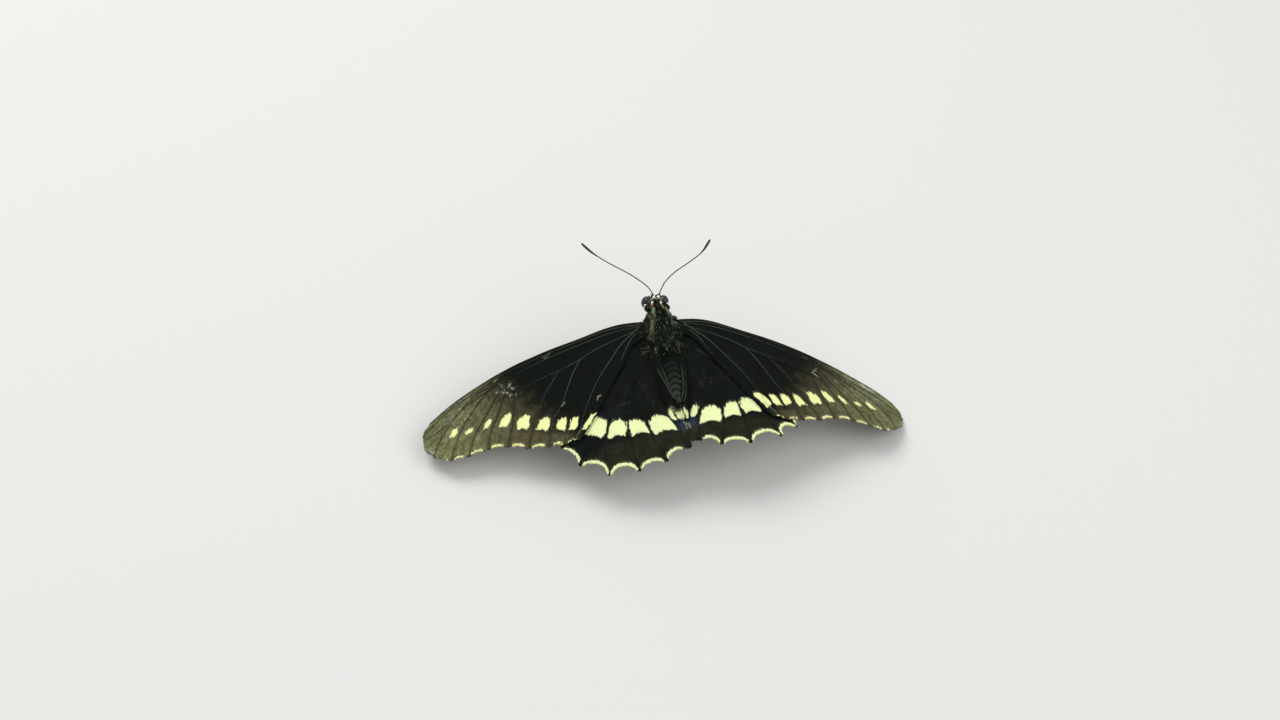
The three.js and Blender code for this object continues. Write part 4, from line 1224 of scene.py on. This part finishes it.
def bodyMasks(points, part, angle, random):
    x, y, z = points.T
    mottle = roughField(points, 0.8, 31)
    # the shoulders are goldest, then the corners behind the wing roots, and the middle patch is dark
    shoulder = np.exp(-((y - 4.0) / 1.6) ** 2) * smoothStep(0.5, 1.6, np.abs(x)) * (1 - 0.8 * (x < -1.9))
    corner = np.exp(-((y + 3.0) / 0.9) ** 2 - ((np.abs(x) - 2.2) / 0.8) ** 2)
    fleck = roughField(points * (1, 0.45, 1), 0.3, 32)
    tufts = tuftMask(points)
    gold = (0.18 + 0.2 * shoulder + 0.08 * corner + 0.1 * mottle + 0.3 * tufts) * (part == 1)
    gold = gold * smoothStep(-4.8, -3.2, y)
    patch = np.exp(-(((x + 0.05) / 1.0) ** 2 + ((y + 1.0) / 1.6) ** 2))
    gold = gold * (1 - 0.9 * patch * (z > 13))
    grey = np.where(part == 0, 0.05, 0.04 + 0.08 * shoulder + 0.04 * corner + 0.14 * tufts)
    for line, width, strength in bodyStreaks:
        distance = nearestOnLine(points[:, :2], smoothLine(line, 16))[0]
        streak = strength * np.exp(-(distance / width) ** 2) * (z > 13.6) * (part < 2)
        streak = streak * np.clip(0.75 + 0.7 * fleck, 0.15, 1.2) if width > 0.2 else streak
        gold, grey = np.maximum(gold, 0.75 * streak * (part == 1)), np.maximum(grey, 0.8 * streak)
    leftShoulder = np.exp(-((x + 2.3) / 0.6) ** 2 - ((y - 3.4) / 1.2) ** 2)
    brown = np.clip(0.3 * corner + 0.4 * leftShoulder + 0.15 * (mottle > 0.45) * (part == 1), 0, 1)
    spots = {"white": np.zeros(len(points)), "orange": np.zeros(len(points))}
    for centre, radius, colour in bodySpots:
        distance = lengthOf((points - centre) * (1, 1, 0.3))
        inside = (1 - smoothStep(0.75 * radius, 1.15 * radius, distance)) * (z > 14.2)
        spots[colour] = np.maximum(spots[colour], inside)
    # a pale dot on each flank of each abdominal ring
    rings = bodyParts["abdomen"]["rings"]
    phase = (-5.2 - y) / 11 * rings % 1
    band = smoothStep(0.05, 0.35, phase) * (1 - smoothStep(0.75, 0.95, phase)) * (np.abs(angle) < 1.2)
    grey = np.where(part == 2, (0.005 + 0.11 * smoothStep(-8, -15, y)) * band + 0.004, grey)
    flank = np.exp(-((np.abs(angle) - 2.0) / 0.22) ** 2 - ((phase - 0.5) / 0.2) ** 2) * (part == 2)
    white = np.maximum(spots["white"], 0.8 * (flank > 0.45))
    # the skin, with no random values of its own, is plainer than the hair over it
    if random is None:
        random, gold, grey = np.full(len(points), 0.5), 0.15 * gold, np.where(part == 2, 1, 0.3) * grey
    else:
        # painted glints: grey flecks in streaks over the thorax hair, fewer on its middle patch
        paintedGlints = roughField(points * (1, 0.4, 1), 0.22, 33) * (part == 1) * (1 - 0.8 * patch)
        grey = np.maximum(grey, 0.9 * smoothStep(0.5, 0.75, paintedGlints))
        # neighbouring hairs share a colour, in flecks about 0.3 mm across
        gold = (0.35 * random + 0.65 * (0.5 + 0.7 * fleck) < gold) * (0.5 + 0.5 * (random * 37 % 1))
        pale = np.where(random * 17 % 1 < grey, 0.45 + 0.5 * (random * 53 % 1), 0)
        grey = np.where(part == 2, grey * (0.6 + 0.8 * random), pale)
        white = (white > 0.3 + 0.4 * random) * 1.0
    marks = np.stack([gold, white, spots["orange"]], -1)
    return {"marks": marks, "tone": np.stack([random, brown, grey], -1)}


bodyTints = {"black": "#0f1811", "gold": "#646c42", "brown": "#3c301c", "grey": "#8d957a", "white": "#f2f5e4",
             "orange": "#9d7548"}


def bodyMaterial(name, finish, bumpSize):
    # bristly black chitin, hair and skin alike
    material, tree, shader = startMaterial(name, finish)
    marks = maskNames(tree, "marks", ("gold", "white", "orange"))
    tone = maskNames(tree, "tone", ("random", "brown", "grey"))
    layers = [(tone["brown"], "brown"), (marks["gold"], "gold"), (tone["grey"], "grey"),
              (marks["orange"], "orange"), (marks["white"], "white")]
    colour = layerColours(tree, bodyTints["black"], [(mask, bodyTints[tint]) for mask, tint in layers])
    shade = addNode(tree, "MapRange", {}, {0: tone["random"], 3: 0.6, 4: 1.3})
    colour = addNode(tree, "VectorMath", {"operation": "SCALE"}, {0: colour, "Scale": shade.outputs[0]})
    tree.links.new(colour.outputs[0], shader.inputs["Base Color"])
    place = addNode(tree, "TexCoord", {}, {}).outputs["Object"]
    bristle = {"size": bumpSize, "detail": 3.0, "strength": 0.4, "depth": 0.05, "roughness": (0.55, 0.8)}
    addGrain(tree, shader, place, bristle)
    return material


# Hair of the body: slivers rooted on the skin, lying backwards

# hairs per square millimetre, their sizes in mm, and how wide a radian round the part is on the bake map
bodyCoat = {
    "head": {"density": 95, "length": 0.3, "lift": 0.1, "width": 0.06, "girth": 1.5},
    "thorax": {"density": 70, "length": 1.35, "lift": 0.29, "width": 0.065, "girth": 2.9},
    "abdomen": {"density": 55, "length": 0.34, "lift": 0.03, "width": 0.12, "girth": 1.3},
    "leg": {"density": 34, "length": 0.3, "lift": 0.05, "width": 0.07, "girth": 1.0},
}


def coatValue(part, name):
    return np.array([coat[name] for coat in bodyCoat.values()])[part]


def sampleSkin(mesh, places, seed):
    random = np.random.default_rng(seed)
    mesh.calc_loop_triangles()
    corners = np.empty(len(mesh.loop_triangles) * 3, np.int32)
    mesh.loop_triangles.foreach_get("vertices", corners)
    corners = corners.reshape(-1, 3)
    normals = readVectors(mesh.vertices, "normal")
    a, b, c = places[corners].transpose(1, 0, 2)
    area = lengthOf(np.cross(b - a, c - a)) / 2
    wanted = area * coatValue(bodyRegions((a + b + c) / 3)[0], "density") / 1
    pick = np.repeat(np.arange(len(area)), random.poisson(wanted))
    p, q = random.uniform(0, 1, (2, len(pick), 1))
    p, q = np.where(p + q > 1, 1 - p, p), np.where(p + q > 1, 1 - q, q)
    root = a[pick] + (b - a)[pick] * p + (c - a)[pick] * q
    corner = normals[corners[pick]]
    return root, unit(corner[:, 0] * (1 - p - q) + corner[:, 1] * p + corner[:, 2] * q)


def trunkHair(root, normal, part, random):
    # lie, length, lift and width of each hair of the trunk, by where it is rooted
    x, y, z = root.T
    side, count = np.sign(x), len(root)
    lie = np.stack([0.12 * x, np.full(count, -1.0), np.full(count, -0.08)], -1)
    top = smoothStep(12.5, 14.5, z)
    wingRoot = np.exp(-((y - 2.2) / 1.8) ** 2) * smoothStep(1.6, 2.4, np.abs(x)) * top * (part == 1)
    corner = np.exp(-((y + 3.4) / 1.2) ** 2) * smoothStep(0.7, 1.7, np.abs(x)) * (part == 1)
    lie[:, 0] += side * (0.5 * wingRoot + 0.7 * corner)
    lie[:, 2] += 0.15 * corner - 0.5 * (1 - top) * (part == 1)
    face = (part == 0) & (normal[:, 1] > 0.3)
    lie[face] = np.stack([0.2 * side, np.full(count, 0.5), np.full(count, 0.9)], -1)[face]
    patch = np.exp(-(((x + 0.05) / 1.0) ** 2 + ((y + 1.0) / 1.7) ** 2)) * top
    length = coatValue(part, "length")
    length = np.where(part == 1, length + 0.1 * wingRoot + 0.1 * corner - 0.95 * patch, length)
    collar = (part == 1) * smoothStep(4.8, 6.0, y)
    length = length * (1 - 0.5 * collar) + 0.5 * (part == 2) * smoothStep(-7.0, -5.2, y)
    length = length * (1 - 0.35 * (part == 1) * (z < 11))
    lift = coatValue(part, "lift") * (1 - 0.8 * patch) + 0.04 * collar
    lift = (lift - 0.1 * corner) * (1 - 0.75 * smoothStep(1.5, 2.2, np.abs(x)) * (y > 2) * (part == 1))
    lift = np.where(face, 0.22, lift)
    length = length * random.uniform(0.65, 1.25, count)
    lift = lift * random.uniform(0.3, 1.5, count)
    return lie, length, lift, coatValue(part, "width") * random.uniform(0.8, 1.25, count)


def lockTogether(root, tips, size, pull, random):
    # draws the tips of neighbouring hairs together
    cell = np.floor(root / size + random.uniform(-0.25, 0.25, root.shape)).astype(int)
    key = np.unique(cell @ (1, 977, 91193), return_inverse=True)[1]
    middle = np.stack([np.bincount(key, tips[:, i]) / np.bincount(key) for i in range(3)], -1)
    return tips + (middle[key] - tips) * pull


def makeBodyHair(mesh, places, lines, look):
    root, normal = sampleSkin(mesh, places, 51)
    random = np.random.default_rng(52)
    part, angle = bodyRegions(root)
    lie, length, lift, width = trunkHair(root, normal, part, random)
    onLeg = part == 3
    near = nearestOf(root[onLeg], np.vstack(list(lines.values())))
    lie[onLeg] = unit(np.vstack([np.gradient(line, axis=0) for line in lines.values()]))[near]
    lie += 0.14 * random.normal(0, 1, lie.shape)
    tips = laidFlat(lie, normal) * length[:, None] + root
    loose = (part == 1) & (length > 0.7)
    tips[loose] = lockTogether(root[loose], tips[loose], 0.7, 0.3, random)
    along, length = laidFlat(unit(tips - root), normal, 0.5), lengthOf(tips - root)
    points = hairPoints(root - normal * 0.03, along, normal, length, width, lift * length)
    points[..., 2] = np.maximum(points[..., 2], 0.02)
    masks = bodyMasks(root, part, angle, random.uniform(0, 1, len(root)))
    unwrap = np.stack([angle * coatValue(part, "girth"), root[:, 1]], -1)
    unwrap[onLeg] = np.stack([4 + 0.024 * near, root[onLeg, 2]], -1)
    for number, name in enumerate(bodyCoat):
        own = part == number
        ownMasks = {key: values[own] for key, values in masks.items()}
        addCoat(f"{name}Hair", "hair", points[own], unwrap[own], ownMasks, look)


# The clear spots of head and collar: short blunt scales that stand over the hair

eye = {"x": 1.6, "y": 8.1, "z": 14.5, "radii": (1.05, 1.13, 1.28), "facet": 0.055}
eyeMark = {"aside": 0.5, "rise": 0.05, "width": 0.19, "height": 0.5, "count": 70}


def makeHeadMarks(mesh, places, look):
    random = np.random.default_rng(61)
    normals = readVectors(mesh.vertices, "normal")
    top = np.flatnonzero((places[:, 1] > 3) & (places[:, 2] > 13.8) & (normals[:, 2] > 0.05))
    roots, colours = [], []
    for centre, radius, colour in bodySpots:
        count = int(420 * radius * radius / thinning * 1.6) + 8
        reach, turn = radius * np.sqrt(random.uniform(0, 1, count)), random.uniform(0, 2 * math.pi, count)
        roots.append(np.array(centre[:2]) + np.stack([reach * np.cos(turn), reach * np.sin(turn)], -1))
        colours += [colour] * count
    for number, (line, width, strength) in enumerate(bodyStreaks[:3]):
        count = int(150 * strength)
        spots = pointAlong(smoothLine(line, 20), random.uniform(0, 1, count))
        roots.append(spots + random.normal(0, 0.4 * width, spots.shape))
        # every third scale of the arc across the head is bright
        colours += ["bright" if number == 0 and one % 3 == 0 else "grey" for one in range(count)]
    spots, colours = np.vstack(roots), np.array(colours)
    # the highest piece of skin near each spot
    near = lengthOf(spots[:, None] - places[top, :2]) < 0.16
    height = np.where(near, places[top, 2], -1)
    best, found = top[height.argmax(1)], near.any(1)
    root, normal, colours, best = spots[found], normals[best[found]], colours[found], best[found]
    root = np.column_stack([root, places[best, 2]]) + normal * 0.07
    # white scales behind each eye, on the hind face of its ball
    for side in (-1, 1):
        count = eyeMark["count"]
        aside = eyeMark["aside"] + eyeMark["width"] * random.uniform(-1, 1, count)
        rise = eyeMark["rise"] + eyeMark["height"] * random.uniform(-1, 1, count)
        radii = np.array(eye["radii"])
        behind = -np.sqrt(1 - (aside / radii[0]) ** 2 - (rise / radii[2]) ** 2) * radii[1]
        offset = np.stack([side * aside, behind, rise], -1)
        outwards = unit(offset / radii ** 2)
        root = np.vstack([root, np.array([side * eye["x"], eye["y"], eye["z"]]) + offset + outwards * 0.03])
        normal = np.vstack([normal, outwards])
        colours = np.concatenate([colours, ["white"] * count])
    count = len(root)
    onCollar = root[:, 1] < 6.2
    lie = np.stack([0.5 * np.sign(root[:, 0]) * onCollar, np.full(count, -1.0), np.full(count, -0.15)], -1)
    lie += 0.3 * random.normal(0, 1, lie.shape)
    along = laidFlat(lie, normal)
    length = np.where(onCollar, 0.6, 0.24) * random.uniform(0.7, 1.2, count)
    width = np.where(onCollar, 0.08, 0.14) * random.uniform(0.8, 1.2, count)
    lift = np.where(onCollar, 0.42, 0.16) * random.uniform(0.6, 1.3, count)
    points = hairPoints(root, along, normal, length, width, lift)
    shade = random.uniform(0.5, 1, count)
    white = (colours == "white") + 0.5 * shade * (colours == "bright")
    marks = [0 * shade, white, (colours == "orange") * 1.0]
    tone = [0.4 + 0.6 * random.uniform(0, 1, count), 0 * shade, (colours == "grey") * shade]
    masks = {"marks": np.stack(marks, -1), "tone": np.stack(tone, -1)}
    addCoat("headMarks", "hair", points, root[:, :2], masks, look)


# Hair over the wing roots and along the hindwings' inner margins

rootCoat = {"forewing": {"reach": 4.0, "spacing": 0.24}, "hindwing": {"reach": 5.0, "spacing": 0.24}}


def makeRootHair(wing, look, seed):
    random = np.random.default_rng(seed)
    shape = rootCoat[wing.kind]
    spots, u, v = scaleRoots(wing, shape["spacing"] * thinning, seed)
    distance = lengthOf(spots - (wing.rootFront + wing.rootBack) / 2)
    keep = random.uniform(0, 1, len(spots)) < 1 - smoothStep(0.25 * shape["reach"], shape["reach"], distance)
    if wing.folds:
        keep |= (u > 0.94) & (v < 0.5) & (random.uniform(0, 1, len(u)) < 0.4)
    spots, u, v, distance = spots[keep], u[keep], v[keep], distance[keep]
    lie = wing.veinDistances(wing.toPlan(spots))[2]
    place, normal, along = wing.frameAt(u, v, lie)
    side = np.cross(normal, along)
    count = len(spots)
    along = unit(along + side * random.normal(0, 0.22, count)[:, None])
    length = (1.15 - 0.1 * np.minimum(distance, 6)) * random.uniform(0.6, 1.2, count)
    length = np.where(u > 0.9, 0.8, 1) * length if wing.folds else length
    points = hairPoints(place + normal * 0.05, along, normal, length,
                        0.06 * random.uniform(0.8, 1.2, count), 0.06 * random.uniform(0.4, 1.5, count))
    chance = random.uniform(0, 1, count)
    near = 1 - smoothStep(0.5, 3.2, distance)
    tufts = tuftMask(place)
    gold = (chance < 0.03 + 0.2 * near + tufts) * (0.2 + 0.5 * random.uniform(0, 1, count) + 0.3 * tufts)
    grey = (random.uniform(0, 1, count) < 0.04 + 0.08 * near + 0.6 * tufts) * (0.3 + 0.5 * tufts)
    zero = np.zeros(count)
    masks = {"marks": np.stack([gold, zero, zero], -1), "tone": np.stack([chance, 0.15 * near, grey], -1)}
    addCoat(f"rootHair_{wing.kind}_{wing.sideName}", "hair", points, spots, masks, look)


# Eyes, feelers, proboscis, claws and spurs

antenna = {
    "shaft": 0.105, "club": 0.24, "scape": 0.24, "rings": 36,
    "left": [(-0.46, 8.5, 15.55), (-0.5, 8.8, 16.0), (-0.75, 10.3, 15.85), (-1.25, 11.3, 15.9),
             (-3.8, 14.1, 16.2), (-7.2, 17.0, 16.5), (-10.1, 19.9, 16.8), (-11.7, 22.3, 17.0)],
    "right": [(0.8, 8.5, 15.5), (0.85, 8.8, 16.0), (1.6, 10.2, 15.85), (2.5, 11.6, 15.9), (4.8, 13.7, 16.2),
              (8.0, 15.7, 16.5), (11.1, 17.9, 16.8), (13.5, 20.9, 17.0)],
}
proboscis = {"y": 9.3, "z": 11.0, "radius": 0.2, "inner": 0.3, "outer": 1.2, "turns": 1.75}
claw = {"length": 0.34, "radius": 0.055, "apart": 0.12}


def plainMaterial(name, hexColour, finish, grain):
    material, tree, shader = startMaterial(name, finish)
    place = addNode(tree, "TexCoord", {}, {}).outputs["Object"]
    cloud = addNode(tree, "TexNoise", {}, {"Vector": place, "Scale": 1 / (grain * mm), "Detail": 3.0})
    shade = addNode(tree, "MapRange", {}, {0: cloud.outputs[0], 1: 0.3, 2: 0.7, 3: 0.7, 4: 1.4})
    colour = addNode(tree, "VectorMath", {"operation": "SCALE"},
                     {0: toLinear(hexColour)[:3], "Scale": shade.outputs[0]})
    tree.links.new(colour.outputs[0], shader.inputs["Base Color"])
    return material, tree, shader, place


def eyeMaterial():
    # glossy facetted eye with cloudy darker patches
    look = plainMaterial("facettedEye", "#131e1c", {"Roughness": 0.22, "Specular IOR Level": 0.45}, 0.9)
    material, tree, shader, place = look
    cells = addNode(tree, "TexVoronoi", {}, {"Vector": place, "Scale": 1 / (eye["facet"] * mm)})
    bump = addNode(tree, "Bump", {"invert": True}, {"Strength": 0.5, "Distance": 0.02 * mm,
                                                   "Height": cells.outputs["Distance"]})
    tree.links.new(bump.outputs[0], shader.inputs["Normal"])
    return material


def makeEyes():
    look = eyeMaterial()
    for sideName, side in (("left", -1), ("right", 1)):
        form = bmesh.new()
        addBall(form, (side * eye["x"], eye["y"], eye["z"]), eye["radii"], 48, 32)
        name = f"eyeball_{sideName}"
        addPiece(name, finishForm(form, name), look, [f"eye_{sideName}"])


def makeFeelers():
    look = plainMaterial("ringedFeeler", "#100f0d", {"Roughness": 0.42, "Specular IOR Level": 0.4}, 0.6)[0]
    for sideName in ("left", "right"):
        count = antenna["rings"] * 4
        line = smoothLine(antenna[sideName], count)
        share = np.linspace(0, 1, count)
        ripple = 1 + 0.09 * np.sin(2 * math.pi * antenna["rings"] * share)
        swell = smoothStep(0.74, 0.92, share) * np.sqrt(np.clip((1.0 - share) / 0.05 + 0.12, 0, 1))
        radii = (antenna["shaft"] + (antenna["club"] - antenna["shaft"]) * swell) * ripple
        radii = radii + (antenna["scape"] - antenna["shaft"]) * (1 - smoothStep(0.015, 0.045, share))
        form = bmesh.new()
        addTube(form, line, radii, 12)
        name = f"feeler_{sideName}"
        addPiece(name, finishForm(form, name), look, [f"antenna_{sideName}"])
    share = np.linspace(0, 1, 150)
    turn = math.pi / 2 - 2 * math.pi * proboscis["turns"] * share
    reach = proboscis["outer"] + (proboscis["inner"] - proboscis["outer"]) * share
    ahead, up = proboscis["y"] + reach * np.cos(turn), proboscis["z"] + reach * np.sin(turn)
    coil = np.vstack([[(0, 9.2, 12.9), (0, 9.24, 12.55)], np.stack([0 * share, ahead, up], -1)])
    radii = proboscis["radius"] * (1 - 0.62 * np.linspace(0, 1, len(coil)))
    radii = radii * (1 + 0.05 * np.sin(np.arange(len(coil)) * 2.1))
    form = bmesh.new()
    addTube(form, coil, radii, 12, (1, 0, 0))
    addPiece("tongueCoil", finishForm(form, "tongueCoil"), look, ["proboscis"])


def makeClaws(lines):
    look = plainMaterial("hornClaw", "#17110b", {"Roughness": 0.3, "Specular IOR Level": 0.45}, 0.3)[0]
    form = bmesh.new()
    for (_, _, part), line in lines.items():
        if part == "tibia":
            # a pair of spurs at the tibia's end
            out = unit(line[-1] - line[-3])
            aside = unit(np.cross(out, (0, 0, 1)))
            for lean in (-0.45, 0.45):
                spur = [line[-3] + aside * lean * 0.3, line[-1] + aside * lean * 0.5,
                        line[-1] + (out + aside * lean) * 0.6]
                addTube(form, smoothLine(spur, 8), np.linspace(0.07, 0.02, 8), 6)
        if part == "tarsus":
            out = unit((line[-1] - line[-4]) * (1, 1, 0))
            aside = np.array([-out[1], out[0], 0])
            for lean in (-1, 1):
                start = line[-1] + aside * lean * 0.07
                bend = start + out * 0.22 + aside * lean * claw["apart"] + np.array([0, 0, 0.03])
                tip = start + out * claw["length"] + aside * lean * claw["apart"] + np.array([0, 0, -0.13])
                addTube(form, smoothLine([start, bend, tip], 8), np.linspace(claw["radius"], 0.015, 8), 6)
    addPiece("claws", finishForm(form, "claws"), look)


veinLook = veinMaterial()
for number, wing in enumerate(wings.values()):
    makeVeins(wing, veinLook)
    makeFringe(wing, 200 + number)
print("veins and fringes made")

hairFinish = {"Specular IOR Level": 0.08, "Sheen Weight": 0.01}
skinLook = bodyMaterial("bristlySkin", {"Specular IOR Level": 0.1}, 0.12)
hairLook = bodyMaterial("bodyHair", hairFinish, 0.3)
allLegs = legLines()
skin, skinPlaces = makeSkin(skinLook, allLegs)
print("skin made", len(skin.data.polygons))
makeBodyHair(skin.data, skinPlaces, allLegs, hairLook)
makeHeadMarks(skin.data, skinPlaces, hairLook)
for number, wing in enumerate(wings.values()):
    makeRootHair(wing, hairLook, 300 + number)
makeEyes()
makeFeelers()
makeClaws(allLegs)
print("eyes, feelers and claws made")


# Stage, light and camera

def makeStage():
    form = bmesh.new()
    bmesh.ops.create_grid(form, x_segments=1, y_segments=1, size=1.5)
    floor = addObject("floor", toMesh(form, "floor"))
    # matt studio paper
    paper, _, shader = startMaterial("studioPaper", {"Roughness": 0.9, "Specular IOR Level": 0.2})
    shader.inputs["Base Color"].default_value = toLinear("#dcdcd8")
    floor.data.materials.append(paper)


def makeLights():
    world = bpy.data.worlds.new("studio")
    bpy.context.scene.world = world
    world.use_nodes = True
    background = world.node_tree.nodes["Background"]
    background.inputs["Color"].default_value = toLinear("#f4f6f8")
    background.inputs["Strength"].default_value = 0.64
    for name, place, size, power in (
            ("key", (-0.35, 0.45, 0.75), 0.55, 5.1), ("fill", (0.5, -0.35, 0.6), 0.7, 2.0)):
        light = bpy.data.lights.new(name, "AREA")
        light.size, light.energy = size, power
        lamp = addObject(name, light)
        lamp.location = place
        lamp.rotation_euler = (-Vector(place)).to_track_quat("-Z", "Y").to_euler()


view = {"target": (0, 0, 14.0), "azimuth": -20.0, "elevation": 47.5, "roll": 10.3, "distance": 331.0,
        "lens": 50, "sensor": 36, "imageWidth": 1280, "imageHeight": 720, "targetPixel": (663.7, 335.6)}


def makeCamera():
    azimuth, elevation, roll = [math.radians(view[name]) for name in ("azimuth", "elevation", "roll")]
    back = Vector((math.sin(azimuth) * math.cos(elevation), -math.cos(azimuth) * math.cos(elevation),
                   math.sin(elevation)))
    right = Vector((0, 0, 1)).cross(back).normalized()
    up = back.cross(right)
    across = right * math.cos(roll) + up * math.sin(roll)
    upright = up * math.cos(roll) - right * math.sin(roll)
    data = bpy.data.cameras.new("camera")
    data.lens, data.sensor_width = view["lens"], view["sensor"]
    data.clip_start, data.clip_end = 0.01, 10
    column, line = view["targetPixel"]
    data.shift_x = (view["imageWidth"] / 2 - column) / view["imageWidth"]
    data.shift_y = (line - view["imageHeight"] / 2) / view["imageWidth"]
    camera = addObject("camera", data)
    place = Vector(toFrame(view["target"])) + back * view["distance"] * mm
    camera.matrix_world = Matrix.Translation(place) @ Matrix((across, upright, back)).transposed().to_4x4()
    bpy.context.scene.camera = camera


makeStage()
makeLights()
makeCamera()
bpy.context.scene.view_settings.view_transform = "Standard"
